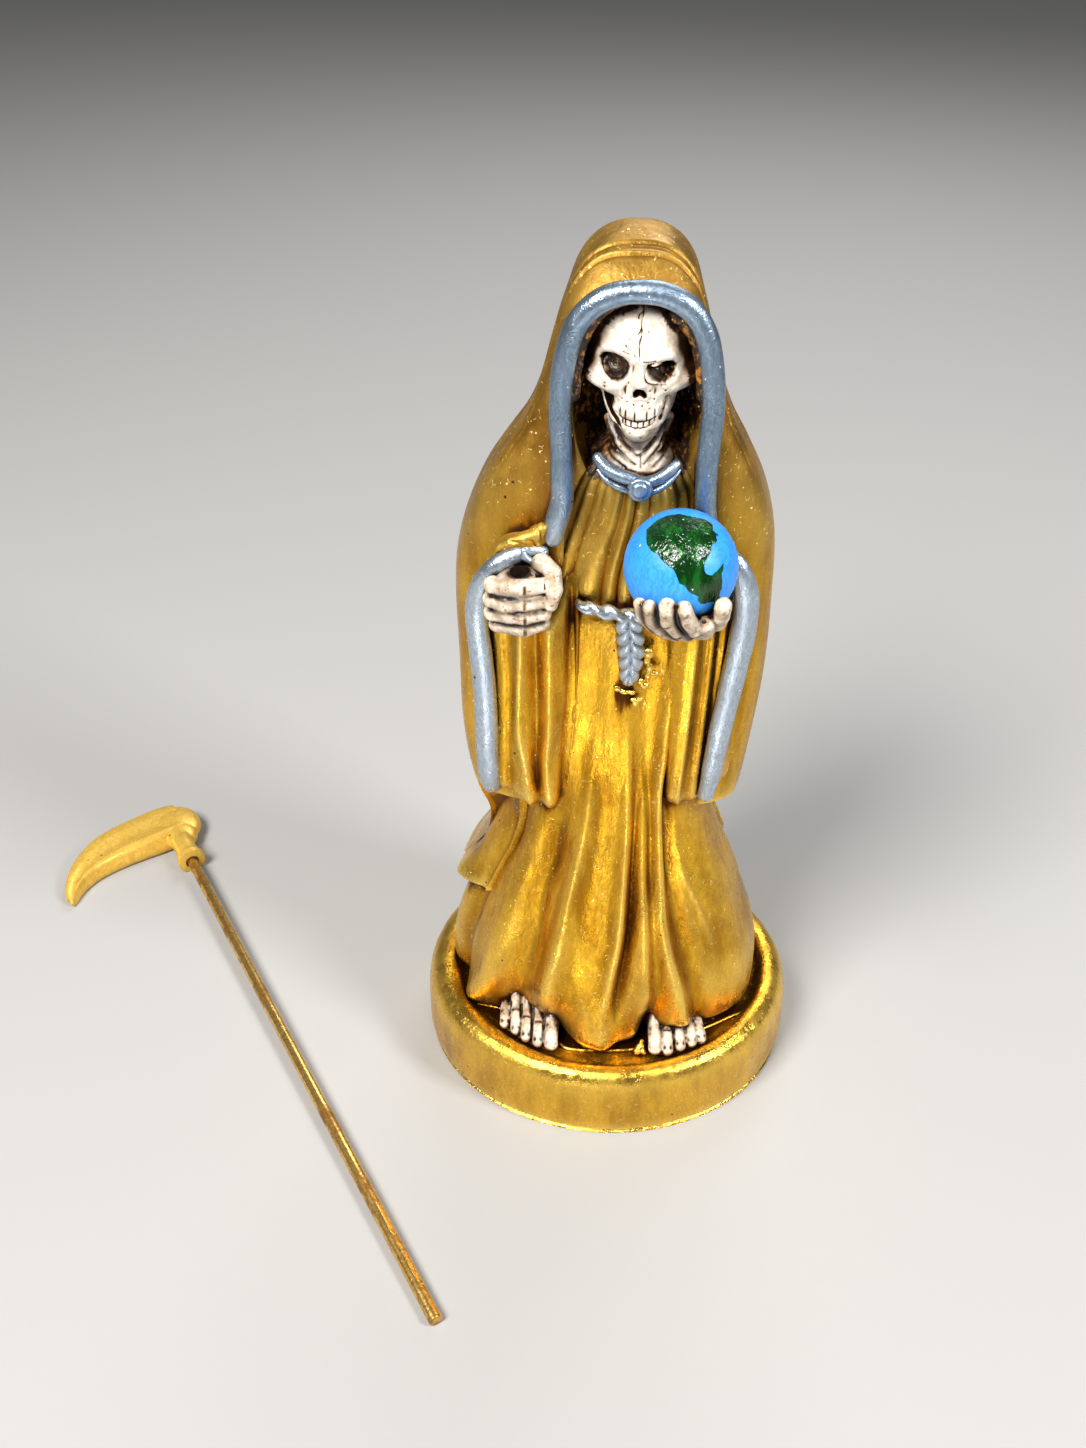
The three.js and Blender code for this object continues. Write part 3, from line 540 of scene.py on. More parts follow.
# The hood's cloth lies in two soft bands that run over the crown and down both sides.
x, y, z = places_of(cloak).T
upper = ease(104, 122, z) * (1 - ease(3, 7, y))
band = y + 0.06 * (138 - z) + 0.022 * np.abs(x - 1.5) + 0.1 * ripple(x, 0, z, 9, 1)
sunk = sum(cut * bell(band - at, width) for at, width, cut in (
    (-5.55, 0.22, 0.2), (-5.1, 0.3, -0.16), (-4.75, 0.18, 0.12), (-4.1, 0.22, 0.2), (-3.6, 0.5, -0.12),
    (-1.2, 0.6, 0.1)))
move_to(cloak, places_of(cloak) - places_of(cloak, "normal") * (sunk * upper)[:, None])


def cape_lift(angle, z):
    return 1 + 2.2 * (1 - ease(30.5, 38, z)) * bell(angle + 97, 22)


cape_corner = skin("cape_corner", 300, 90,
                   lambda across, up: gown_bend(across, UNDERSIDE + 0.6 * up, cape_lift))


def block(name, low, high):
    bpy.ops.object.select_all(action="DESELECT")
    middle = [(a + b) / 2 for a, b in zip(low, high)]
    bpy.ops.mesh.primitive_cube_add(size=1, location=middle, scale=[b - a for a, b in zip(low, high)])
    bpy.ops.object.transform_apply(location=True, rotation=True, scale=True)
    bpy.context.object.name = name
    bpy.context.object.data.materials.append(gold_paint)
    return bpy.context.object


def picked(piece):
    bpy.ops.object.select_all(action="DESELECT")
    piece.select_set(True)
    bpy.context.view_layer.objects.active = piece


def worked(piece, kind, **settings):
    """A modifier with its settings, applied at once."""
    picked(piece)
    modifier = piece.modifiers.new(kind.lower(), kind)
    for key, value in settings.items():
        setattr(modifier, key, value)
    bpy.ops.object.modifier_apply(modifier=modifier.name)


def combined(piece, other, how):
    """A boolean of two closed pieces; the second is used up."""
    worked(piece, "BOOLEAN", operation=how, solver="MANIFOLD", material_mode="TRANSFER", object=other)
    bpy.data.objects.remove(other)
    return piece


# The corner is cut from that layer by a slanting slab of space.
corner_space = block("corner_space", (-34, -7.4, CLOAK_BACK_HEM), (-8, 14, 58))
sloped = places_of(corner_space)
sloped[:, 2] += np.where((sloped[:, 2] < 40) & (sloped[:, 1] < 0), 4, -0.5 * (sloped[:, 2] < 40))
move_to(corner_space, sloped)
cape_corner = combined(cape_corner, corner_space, "INTERSECT")

# The hollow of the hood is an upright egg, and the cloak is open over the chest below it.
hood_space = skin("hood_space", 90, 60, lambda across, up: (
    1.8 + 9.0 * np.sin(up * np.pi) * np.sin(across * 2 * np.pi),
    -9.0 - 11.5 * np.sin(up * np.pi) * np.cos(across * 2 * np.pi),
    118.5 - 15.6 * np.cos(up * np.pi)))
cloak = combined(cloak, hood_space, "DIFFERENCE")
chest_space = block("chest_space", (-8.2, -30, 58), (9.8, -6.3, 118.5))
slant = places_of(chest_space)
slant[:, 0] += np.where(slant[:, 2] < 80, -0.2, 1.0)
move_to(chest_space, slant)
cloak = combined(cloak, chest_space, "DIFFERENCE")
cloak = combined(cloak, cape_corner, "UNION")


# Both sleeves hang in a pleated drape below the forearms, with a rounded, scalloped hem.
def line_at(z, *knots):
    return profile(*knots)(z)


def hanging(name, centre, half, top_of, bottom_of, depth_of, back=2.0):
    """A hanging drape: its front runs from one edge over to the other and its back is flat."""
    def bend(across, up):
        turn = across * 2 * np.pi
        x = centre - half * np.sign(np.sin(turn)) * np.abs(np.sin(turn)) ** 0.8
        bottom = bottom_of(x)
        tall = top_of(x) - bottom
        hem = np.clip(up / 0.1, 0, 1)
        close = np.clip((1 - up) / 0.14, 0, 1)
        thick = np.sqrt(1 - (1 - hem) ** 2) * np.sqrt(1 - (1 - close) ** 2)
        curled = bottom + 0.1 * tall - 1.5 + 1.5 * hem - 0.1 * tall * 0.6 * (1 - hem) ** 0.5
        z = np.where(up < 0.1, curled, bottom + tall * up)
        front = depth_of(x, z) + 0.12 * ripple(x, 0, z, 4, 6)
        middle = (front + back) / 2
        deep = (front - back) / 2 * (0.3 + 0.7 * thick)
        edge = np.abs(np.cos(turn)) ** 0.32
        y = -(middle + np.where(np.cos(turn) > 0, deep, -deep) * edge)
        return centre + (x - centre) * (0.94 + 0.06 * thick), y, z
    return skin(name, 200, 110, bend)


def fist_drape(x, z):
    depth = line_at(x, (-19.8, 9.2), (-19, 10.6), (-17.5, 11.8), (-15.5, 12.4), (-12, 12.9), (-9, 12.9),
                    (-7.4, 12.4), (-6.2, 12.0), (-5.3, 11.9), (-4.6, 10.6), (-4.2, 8.6))
    fade = 1 - 0.7 * ease(84, 96, z)
    for knots, width, tall in (
        (((57, -15.2), (64, -15.4), (76, -15), (83, -15.4)), 0.8, -0.55),
        (((56, -12.1), (63, -13), (70, -14.1), (83, -13.6)), 0.75, 0.75),
        (((55, -10.8), (62, -11.3), (70.5, -11.2), (82, -11.4)), 1.0, -1.15),
        (((55, -8.9), (62, -9.8), (70.5, -9.4), (83, -9.4)), 0.95, 0.7),
        (((57, -7.3), (65, -6.9), (76, -6.3), (86, -6.4)), 0.55, -1.5),
        (((60, -6.6), (68, -6.1), (76, -5.6), (86, -5.5)), 0.4, 0.55),
    ):
        depth = depth + tall * bell(x - line_at(z, *knots), width) * fade
    return depth + 0.5 * bell(z - 57.5, 2.5) * bell(x + 10.3, 2.6)


def fist_hem(x):
    return line_at(x, (-19.8, 58.4), (-18.6, 57), (-15.4, 56.2), (-13.8, 55.4), (-12, 54.1), (-9, 53.9),
                   (-7.6, 55), (-6.8, 57), (-5.8, 59.5), (-4.2, 62))


def fist_top(x):
    return line_at(x, (-19, 90), (-10, 91), (-8.4, 92.5), (-7, 95), (-5.5, 96), (-4.2, 94))


fist_sleeve = hanging("fist_sleeve", -12.0, 7.8, fist_top, fist_hem, fist_drape)


def globe_drape(x, z):
    s = x - line_at(z, (55, 10.4), (67.7, 11.2), (77, 11.6), (86, 11.9))
    depth = line_at(s, (-5, 11.9), (-3, 12.4), (-1, 12.8), (-0.25, 12.9), (0.2, 11.9), (0.7, 11.3),
                    (2.5, 11.0), (4.5, 10.6), (6.5, 9))
    return depth + 0.35 * bell(s - 1.9, 0.5) - 0.3 * bell(s - 2.9, 0.5) + 0.25 * bell(s + 1.6, 0.7)


def globe_hem(x):
    return line_at(x, (7, 56), (8.2, 55.4), (10.7, 54.7), (13.6, 55.2), (16, 56.4), (18, 58.5))


globe_sleeve = hanging("globe_sleeve", 12.6, 5.4, lambda x: 96 + 0 * x, globe_hem, globe_drape)


# Silver rolls edge the hood and both sleeves. They were laid on the clay as soft ropes, so they are
# a little uneven, and their ends are rounded off.
silver_paint, t, shader = material("silver_paint")
wash_and_shade = placed(t, wash_and_shade_effect, Spread=0.25, Patches=0.3, Fine=0.9)
brush = placed(t, brush_effect, Size=1.15, Clouds=1.2)
crumbs = placed(t, speck_effect, Scale=1700.0, Share=0.1, Size=0.2)["Mask"]
pits = placed(t, speck_effect, Scale=800.0, Share=0.05, Size=0.15)["Mask"]
pale_silver = over(t, brush["Tone"], (0.50, 0.56, 0.62), (0.68, 0.72, 0.77))
colour = coats(
    t, over(t, brush["Tone"], (0.15, 0.215, 0.29), (0.26, 0.345, 0.44)),
    (brush["Sheen"], 0.4, (0.15, 0.215, 0.295)),
    # The rolls below the hood are painted paler: painted light, as if more brightly lit.
    (ramp(t, height_of(t), 0.095, 0.112, 0.55, 0.0), 1, pale_silver),
    # A painted highlight on crests.
    (recorded(t, "crest"), 0.35, (0.62, 0.71, 0.82)),
    # The wash: the paint's own dark in creases, painted shade in sheltered places.
    (wash_and_shade["Film"], 0.6, (0.055, 0.08, 0.115)),
    (wash_and_shade["Thick"], 1, (0.03, 0.022, 0.018)),
    (crumbs, 1, (0.85, 0.9, 0.95)),
    (pits, 1, (0.03, 0.03, 0.035)))
rough = ramp(t, brush["Sheen"], 0, 1, 0.26, 0.38)
feed(t, shader, {"Base Color": colour, "Metallic": 0.88, "Roughness": rough})
dents(t, shader, (brush["Height"], 0.00014, 0.6))


def roll(name, points, thick, along, around=26, flat=1.0, side=(0, 1, 0), twist=None, blunt=0.9, coat=None):
    """A rope along a line, with rounded ends. thick is its radius, or (share of its length, radius) knots."""
    line = route(points, 240)
    length = np.sum(np.linalg.norm(np.diff(line, axis=0), axis=1))
    heading = np.gradient(line, axis=0)
    heading /= np.linalg.norm(heading, axis=1)[:, None]
    first = np.cross(heading, side)
    first /= np.linalg.norm(first, axis=1)[:, None]
    second = np.cross(heading, first)
    radius_of = profile(*thick) if isinstance(thick, list) else (lambda s: thick + 0 * s)

    def bend(across, up):
        turn = across * 2 * np.pi
        end = radius_of(0 * up) * blunt / length
        s = np.clip(up, 0, 1)
        cap = np.sqrt(np.clip(1 - (1 - np.clip(np.minimum(s, 1 - s) / end, 0, 1)) ** 2, 0, 1))
        radius = radius_of(s) * cap
        if twist is not None:
            radius = radius * twist(turn, s * length)
        along_line = s * (len(line) - 1)
        i = np.clip(along_line.astype(int), 0, len(line) - 2)
        share = (along_line - i)[:, None]
        at, a, b = [rows[i] * (1 - share) + rows[i + 1] * share for rows in (line, first, second)]
        radius = radius * (1 + 0.035 * ripple(*at.T, 2.2, 3))
        return (at + a * (radius * np.cos(turn))[:, None] + b * (flat * radius * np.sin(turn))[:, None]).T
    return skin(name, around, along, bend, coat or silver_paint)


hood_trim = roll("hood_trim", [
    (-9.3, -11.4, 99.4), (-8.7, -11.2, 102.5), (-7.9, -10.9, 105.8), (-7.9, -10.6, 110), (-8.1, -10.3, 114.3),
    (-8.3, -10, 118.5), (-8.1, -9.8, 122.6), (-7.4, -9.6, 126.7), (-6.2, -9.5, 130.2), (-4, -9.5, 132.7),
    (-1.4, -9.4, 134), (1.7, -9.4, 134.4), (4.8, -9.4, 134.1), (7.8, -9.5, 132.6), (9.8, -9.5, 130),
    (10.9, -9.6, 126.8), (11.5, -9.8, 123), (11.7, -10, 119), (11.5, -10.4, 114.9), (11.4, -10.7, 110.5),
    (11.5, -11, 106), (12.3, -11.6, 101.5), (13.2, -12, 98.5)],
    [(0, 1.35), (0.06, 1.6), (0.2, 1.5), (0.5, 1.55), (0.8, 1.5), (0.93, 1.45), (1, 1.2)], 300)

fist_trim = roll("fist_trim", [
    (-9.6, -12.4, 98.6), (-11, -12.8, 99.1), (-12.9, -13.1, 99), (-15.2, -13.4, 98.1), (-17.3, -13.5, 96.4),
    (-18.8, -13, 93.9), (-19.6, -12.4, 91), (-19.8, -11.9, 87.6), (-19.4, -11.7, 82.5), (-19, -11.7, 77),
    (-18.8, -11.7, 71), (-18.8, -11.5, 65), (-18.6, -11, 60), (-18.1, -10.3, 56.2)],
    [(0, 1.0), (0.08, 1.35), (0.3, 1.6), (0.5, 1.75), (0.75, 1.75), (0.9, 1.7), (1, 1.45)], 190, flat=0.85)

globe_trim = roll("globe_trim", [
    (15.2, -12, 99.5), (16.6, -12.6, 97.6), (17.7, -12.6, 94.6), (18.1, -12.2, 90.5), (17.8, -11.9, 86),
    (17.3, -11.7, 81.5), (16.7, -11.6, 76.5), (16, -11.4, 71), (15.4, -11.3, 65.6), (14.9, -11, 60.5),
    (14.3, -10.4, 56)],
    [(0, 1.1), (0.12, 1.6), (0.3, 1.8), (0.6, 1.7), (0.85, 1.5), (1, 1.25)], 170, flat=0.85)


# The rolled collar meets at a flat round clasp. Behind it the neck's tendons run up under the jaw.
collar = roll("collar", [
    (-3.5, -9.9, 112.8), (-2.8, -10.5, 111.8), (-1.6, -11.1, 110.9), (0, -11.6, 110.3), (1.6, -11.8, 109.9),
    (2.9, -11.8, 109.5), (4.2, -11.6, 109.7), (5.7, -11.2, 110.3), (6.9, -10.7, 111.2), (7.7, -10.1, 112.1)],
    [(0, 0.7), (0.15, 0.95), (0.4, 0.95), (0.6, 0.8), (0.85, 0.8), (1, 0.6)], 80, around=20, side=(0, 0, 1))
collar_lip = roll("collar_lip", [
    (-3.2, -10.9, 111.0), (-2.2, -11.6, 109.9), (-0.8, -12.0, 109.1), (1, -12.2, 108.5), (2.6, -12.2, 108.2),
    (4.4, -12.1, 108.4), (5.9, -11.7, 109.1), (7.2, -11.0, 110.2), (7.9, -10.3, 111.0)],
    [(0, 0.25), (0.2, 0.42), (0.5, 0.45), (0.8, 0.4), (1, 0.25)], 80, around=14, side=(0, 0, 1))


def ball(centre, radii, around=28, up=18):
    radii = radii if isinstance(radii, tuple) else (radii,) * 3
    bpy.ops.object.select_all(action="DESELECT")
    bpy.ops.mesh.primitive_uv_sphere_add(segments=around, ring_count=up, radius=1, location=centre,
                                         scale=radii)
    bpy.ops.object.transform_apply(location=True, rotation=True, scale=True)
    return bpy.context.object


def bone(start, end, thick, thin):
    """A ball pulled out into a rod with round ends, of one radius at its start and one at its end."""
    piece = ball((0, 0, 0), 1, around=20, up=14)
    run = Vector(end) - Vector(start)
    places = places_of(piece)
    far = places[:, 2] > 1e-6
    places *= np.where(far, thin, thick)[:, None]
    places[far, 2] += run.length
    turn = np.array(run.to_track_quat("Z", "Y").to_matrix())
    move_to(piece, places @ turn.T + np.array(Vector(start)))
    return piece


def limb(points, radii):
    """Bones end to end along points."""
    return [bone(*ends) for ends in zip(points, points[1:], radii, radii[1:])]


def fused(name, parts, voxel, rounds, coat=None):
    """Parts melted together into one skin, as soft clay is."""
    picked(parts[0])
    for part in parts:
        part.select_set(True)
    bpy.ops.object.join()
    piece = parts[0]
    piece.name = name
    worked(piece, "REMESH", mode="VOXEL", voxel_size=voxel, adaptivity=0)
    worked(piece, "SMOOTH", factor=0.5, iterations=rounds)
    piece.data.materials.clear()
    piece.data.materials.append(coat or bone_paint)
    return piece


def away_from(places, line):
    """How far each place is from a line of close points."""
    best = np.full(len(places), 1e9)
    for k in range(0, len(line), 24):
        part = line[k:k + 24]
        best = np.minimum(best, np.min(np.sum((places[:, None] - part[None]) ** 2, axis=2), axis=1))
    return np.sqrt(best)


def carved(piece, cuts):
    """Grooves (positive depth) or raised lines (negative) along lines on a piece's skin."""
    places = places_of(piece)
    total = sum(depth * bell(away_from(places, route(line, 40)), width) for line, width, depth in cuts)
    move_to(piece, places - places_of(piece, "normal") * total[:, None])
    return piece


CLASP = (2.6, -12.7, 108.9)
clasp_ring = [(CLASP[0] + 1.2 * math.cos(t / 4), CLASP[1] - 0.6, CLASP[2] + 1.2 * math.sin(t / 4))
              for t in range(26)]
clasp = carved(ball(CLASP, (1.72, 0.85, 1.72), around=44, up=30), [(clasp_ring, 0.17, 0.2)])
clasp.name = "clasp"
clasp.data.materials.append(silver_paint)

# Bone paint: off-white on the skull, browner on the neck, hands and feet.
bone_paint, t, shader = material("bone_paint")
wash_and_shade = placed(t, wash_and_shade_effect, Spread=0.5, Patches=0.35, Fine=1.5)
crumbs = placed(t, speck_effect, Scale=1300.0, Share=0.07, Size=0.2)["Mask"]
mottle = noise(t, spot(t), 650.0, 6.0, 0.72)
worn = sums(t, "ADD", mottle, times(t, recorded(t, "crest"), 0.35))
limbs = ramp(t, height_of(t), 0.101, 0.106, 1.0, 0.0)
wrinkles = placed(t, scratch_effect, Scale=480.0, Width=0.022)["Mask"]
limb_bone = over(t, ramp(t, mottle, 0.4, 0.62), (0.44, 0.29, 0.15), (0.78, 0.67, 0.52))
# The colour of the stain and of the painted shade that shares it.
stain_and_shade = over(t, ramp(t, worn, 0.5, 0.85), (0.013, 0.004, 0.0015), (0.40, 0.21, 0.08))
colour = coats(
    t, over(t, ramp(t, mottle, 0.34, 0.66), (0.55, 0.44, 0.32), (0.82, 0.76, 0.67)),
    (limbs, 0.6, limb_bone),
    (times(t, wrinkles, limbs), 0.75, (0.25, 0.12, 0.045)),
    # The wash: the paint's own brown in creases, painted shade in sheltered places.
    (wash_and_shade["Film"], 0.85, (0.38, 0.2, 0.075)),
    (wash_and_shade["Thick"], 1, (0.035, 0.012, 0.004)),
    # Stain: real brown in the sockets, painted shade in the bore, over the fist and on the skull inside the
    # hood, and stain darkened by painted shade on the neck, hands and feet.
    (ramp(t, recorded(t, "stain_and_shade"), 0.1, 0.9), 1, stain_and_shade),
    # Near-black in grooves, cracks and pits, and painted shade in the fist's bore and round its mouth.
    (ramp(t, recorded(t, "ink_and_shade"), 0.3, 0.8), 1, (0.012, 0.005, 0.003)),
    (crumbs, 1, (0.22, 0.1, 0.03)))
feed(t, shader, {"Base Color": colour, "Roughness": ramp(t, mottle, 0.3, 0.7, 0.3, 0.5)})
dents(t, shader, (mottle, 0.00009, 0.45))

neck = fused("neck", [
    bone((2.2, -4.4, 106), (2.1, -5.4, 115), 4.0, 3.7),
    ball((2.1, -5.9, 110.6), (5.0, 4.5, 3.0)),
    *limb([(-1.9, -5.6, 116), (-0.6, -7.7, 113.4), (2.0, -9.4, 111.2)], [0.7, 0.8, 0.6]),
    *limb([(6.0, -5.6, 116.4), (4.6, -8.0, 113.4), (2.8, -9.5, 111.2)], [0.8, 0.8, 0.6]),
], 0.16, 5)
NECK_FOLDS = [
    ((-2.9, 113.4), (-1.6, 111.9), (0.4, 110.8)), ((-1.7, 114.2), (-0.2, 112.4), (1.9, 111.2)),
    ((-0.3, 114.4), (0.9, 113.1), (2.2, 112.3), (3.2, 113.0), (4.2, 114.4)),
    ((5.7, 114.6), (4.4, 112.7), (3.0, 111.3)), ((7.0, 113.9), (5.9, 112.3), (4.3, 110.9)),
    ((2.5, 112.2), (2.55, 110.9)),
]

# The skull leans out of the hood: a cracked forehead, frowning brows over deep round sockets, flared
# cheekbones, a full grin and a narrow jaw. It is painted off-white and washed with brown.
HEAD = (2.0, -2.5)
skull_front = profile(
    (113.4, 4.6), (114.3, 7), (115.8, 8), (117.3, 7.7), (118.6, 8.1), (120, 7.8), (121.4, 7.7), (122.8, 8),
    (124.4, 7.6), (125.8, 7.9), (127.5, 7.7), (129.6, 6.9), (131.8, 5.2), (133.2, 3.4), (134.2, 1))
skull_side = profile(
    (113.4, 1.4), (114.3, 2.3), (115.4, 3.1), (117, 4.0), (118.6, 4.5), (119.8, 4.8), (120.6, 5.6),
    (121.4, 6.8), (122.6, 7.15), (123.6, 6.8), (124.6, 6.3), (126, 6.05), (128, 6.1), (130, 5.7), (132, 4.7),
    (133.4, 3), (134.2, 1))
column_angle = profile((-1, -180), (-0.9, -104), (-0.6, -58), (0, 0), (0.6, 58), (0.9, 104), (1, 180))


def skull_bend(across, up):
    a = np.radians(column_angle(2 * across - 1))
    z = 113.4 + 20.8 * up
    reach = np.where(np.cos(a) > 0, skull_front(z), 5.5)
    x = HEAD[0] + skull_side(z) * np.sign(np.sin(a)) * np.abs(np.sin(a)) ** 0.86
    y = HEAD[1] - reach * np.sign(np.cos(a)) * np.abs(np.cos(a)) ** 0.86
    return x, y, z


skull = skin("skull", 250, 210, skull_bend, bone_paint)


def inside(u, v, outline):
    """How far inside an outline each place is, negative outside."""
    ring = np.array(outline, float)
    following = np.roll(ring, -1, axis=0)
    best = np.full(len(u), 1e9)
    crossings = np.zeros(len(u), int)
    for (ax, ay), (bx, by) in zip(ring, following):
        t = np.clip(((u - ax) * (bx - ax) + (v - ay) * (by - ay)) / ((bx - ax) ** 2 + (by - ay) ** 2), 0, 1)
        best = np.minimum(best, np.hypot(u - ax - t * (bx - ax), v - ay - t * (by - ay)))
        with np.errstate(divide="ignore", invalid="ignore"):
            crossings += ((ay > v) != (by > v)) & (u < (bx - ax) * (v - ay) / (by - ay) + ax)
    return np.where(crossings % 2 == 1, best, -best)


def from_line(u, v, line):
    drawn = route([(x, 0, z) for x, z in line], 60)
    return away_from(np.stack([u, 0 * u, v], axis=1), drawn)


x, y, z = places_of(neck).T
sunk = sum(0.3 * bell(from_line(x, z, fold), 0.24) for fold in NECK_FOLDS) + 0.16 * ripple(x, y, z, 1.3, 5)
move_to(neck, np.stack([x, y + sunk * ease(-5, -7, y), z], axis=1))

# The face is pushed out (or in, where negative) from the plain skull, seen from the front.
LEFT_SOCKET = [
    (-2.9, 125.95), (-2.25, 126.4), (-1.3, 126.5), (-0.15, 126.2), (0.65, 125.5), (0.9, 124.7), (0.65, 123.8),
    (0.1, 123.0), (-0.8, 122.6), (-1.7, 122.7), (-2.5, 123.3), (-3.0, 124.2), (-3.1, 125.2)]
RIGHT_SOCKET = [
    (2.8, 125.4), (3.8, 125.4), (5.25, 125.65), (6.1, 125.5), (6.6, 124.8), (6.55, 123.9), (6.2, 123.2),
    (5.4, 122.8), (4.4, 122.9), (3.5, 123.3), (2.95, 124), (2.65, 124.7)]
NOSE_HOLE = [(1.97, 122.35), (2.5, 122.05), (2.95, 121.4), (3.05, 120.85), (2.65, 120.7), (2.1, 121.15),
             (1.65, 120.75), (1.2, 120.85), (1.2, 121.5), (1.5, 122.05)]
NOSE_BODY = [(1.6, 125.2), (1.1, 123.4), (0.55, 122.1), (0.6, 121), (1.2, 120.5), (3.0, 120.5), (3.65, 121),
             (3.7, 122.1), (3.2, 123.4), (2.8, 125.2)]
JAW_HOLLOW = [(-2.35, 120.6), (-1.5, 120.5), (-1.15, 120), (-0.95, 119.2), (-1.25, 118.3), (-0.5, 117.3),
              (-0.1, 116.2), (-0.6, 116.4), (-1.3, 117.3), (-1.8, 118.4), (-2.15, 119.5)]
# Brows, cheekbones and the hollows below them, the nose and its sides, and the jaw: (line, width, push).
FACE_LINES = [
    (((1.7, 126.25), (0.3, 126.95), (-1.3, 127.25), (-2.8, 126.8), (-3.6, 125.7)), 0.62, 0.42),
    (((2.5, 126.1), (4, 126.2), (5.4, 126.45), (6.7, 126.15), (7.4, 125.2)), 0.62, 0.42),
    (((-4.9, 123.2), (-3.7, 122.1), (-2.3, 121.7), (-0.9, 121.7), (-0.1, 120.9)), 0.75, 0.5),
    (((-5.2, 121.9), (-3.6, 120.75), (-2.4, 120.3), (-1.4, 120.15)), 0.42, -0.75),
    (((8.9, 123.1), (7.7, 122.1), (6.3, 121.7), (5, 121.7), (4.2, 120.9)), 0.75, 0.5),
    (((9.2, 121.0), (8.1, 120.5), (6.9, 120.3), (5.9, 120.2)), 0.42, -0.75),
    (((2.1, 126), (2.15, 124.6), (2.1, 122.9)), 0.6, 0.95),
    (((1.2, 125), (1.05, 123.9), (0.55, 122.9), (0.15, 121.9), (0.25, 120.9)), 0.3, -0.26),
    (((3.1, 124.9), (3.4, 123.9), (3.9, 122.9), (4.1, 121.9), (3.9, 120.9)), 0.3, -0.18),
    (((-2.5, 120.3), (-2.15, 118.6), (-1.6, 117), (-0.8, 115.6)), 0.28, 0.35),
    (((6.2, 120.3), (5.8, 118.5), (5.1, 116.6), (4.4, 115.6)), 0.35, 0.3),
    (((5.45, 120.3), (5.2, 119.4), (4.95, 118.2), (4.7, 117.2)), 0.26, -0.8),
]
CRACKS = [
    (((2.1, 134), (2.05, 132.6), (2.2, 131.4), (1.95, 130.2), (2.05, 129), (1.8, 127.8), (1.9, 126.3)), 0.11),
    (((2.1, 131.4), (1.7, 131.1), (1.6, 130.7)), 0.1), (((1.95, 129.4), (1.65, 129)), 0.1),
    (((0.1, 127.6), (0.7, 127.1), (1.4, 126.4)), 0.08), (((-0.2, 126.95), (0.5, 126.7)), 0.06),
    (((2.4, 126.1), (3.0, 125.75), (3.9, 125.85)), 0.09),
]
# Each pit: (x, z, radius).
PITS = [
    (-2.5, 121.9, 0.24), (-4.5, 122.7, 0.15), (0.5, 120.2, 0.14), (1.35, 119.85, 0.16), (2.45, 119.75, 0.15),
    (3.2, 120.1, 0.14), (-0.2, 120.6, 0.17), (4.0, 120.6, 0.16), (3.4, 121.9, 0.2), (5.4, 121.8, 0.22),
    (1.0, 115.9, 0.12), (2.4, 115.3, 0.12),
]
# Lumps on the right eye's rim, the upper lip, the chin, both temples and the pits:
# (x, z, half width, half height, push).
FACE_SPOTS = [
    *[(lump_x, lump_z, wide, wide, 1.3) for lump_x, lump_z, wide in (
        (5.95, 124.35, 0.26), (6.15, 123.8, 0.24), (5.75, 123.4, 0.3), (5.2, 123.05, 0.24),
        (4.6, 123.05, 0.2), (5.5, 124.0, 0.28), (5.3, 123.6, 0.2))],
    (2.15, 119.9, 2.4, 0.8, 0.25), (2.2, 115.7, 2.1, 0.9, 0.4),
    (-3.9, 127.6, 1.1, 1.6, -0.5), (7.9, 127.6, 1.1, 1.6, -0.5),
    *[(pit_x, pit_z, wide, wide, -0.22) for pit_x, pit_z, wide in PITS],
]
LEFT_EYE = (-1.15, 124.5)
RIGHT_EYE = (4.0, 124.2)

x, y, z = places_of(skull).T
pushed = 0.07 * ripple(x, y, z, 1.6, 8)
for socket in (inside(x, z, LEFT_SOCKET), inside(x, z, RIGHT_SOCKET)):
    pushed -= 2.9 * (1 - bell(np.clip(socket + 0.1, 0, None), 0.75))
    pushed += 0.22 * bell(socket + 0.4, 0.4)
# Each eye is a shallow ball with rings scratched into it: (radius, width, depth).
for eye, size, bulging, rings in (
    (LEFT_EYE, 1.5, 1.5, ((0.85, 0.12, 0.17), (0.45, 0.1, 0.13), (0, 0.16, 0.25))),
    (RIGHT_EYE, 1.3, 1.7, ((0.7, 0.12, 0.17), (0, 0.2, 0.2))),
):
    from_eye = np.hypot(x - eye[0], z - eye[1])
    pushed += bulging * np.sqrt(np.clip(1 - (from_eye / size) ** 2, 0, 1))
    for radius, width, depth in rings:
        pushed -= depth * bell(from_eye - radius, width)
for line, width, push in FACE_LINES + [(crack, 0.15, -0.22) for crack, _ in CRACKS]:
    pushed += push * bell(from_line(x, z, line), width)
for spot_x, spot_z, wide, tall, push in FACE_SPOTS:
    pushed += push * bell(np.hypot((x - spot_x) / wide, (z - spot_z) / tall), 1)
pushed += 0.6 * ease(-0.35, 0.5, inside(x, z, NOSE_BODY))
pushed -= 1.9 * ease(-0.15, 0.35, inside(x, z, NOSE_HOLE))
pushed -= 2.6 * ease(-0.1, 0.35, inside(x, z, JAW_HOLLOW))

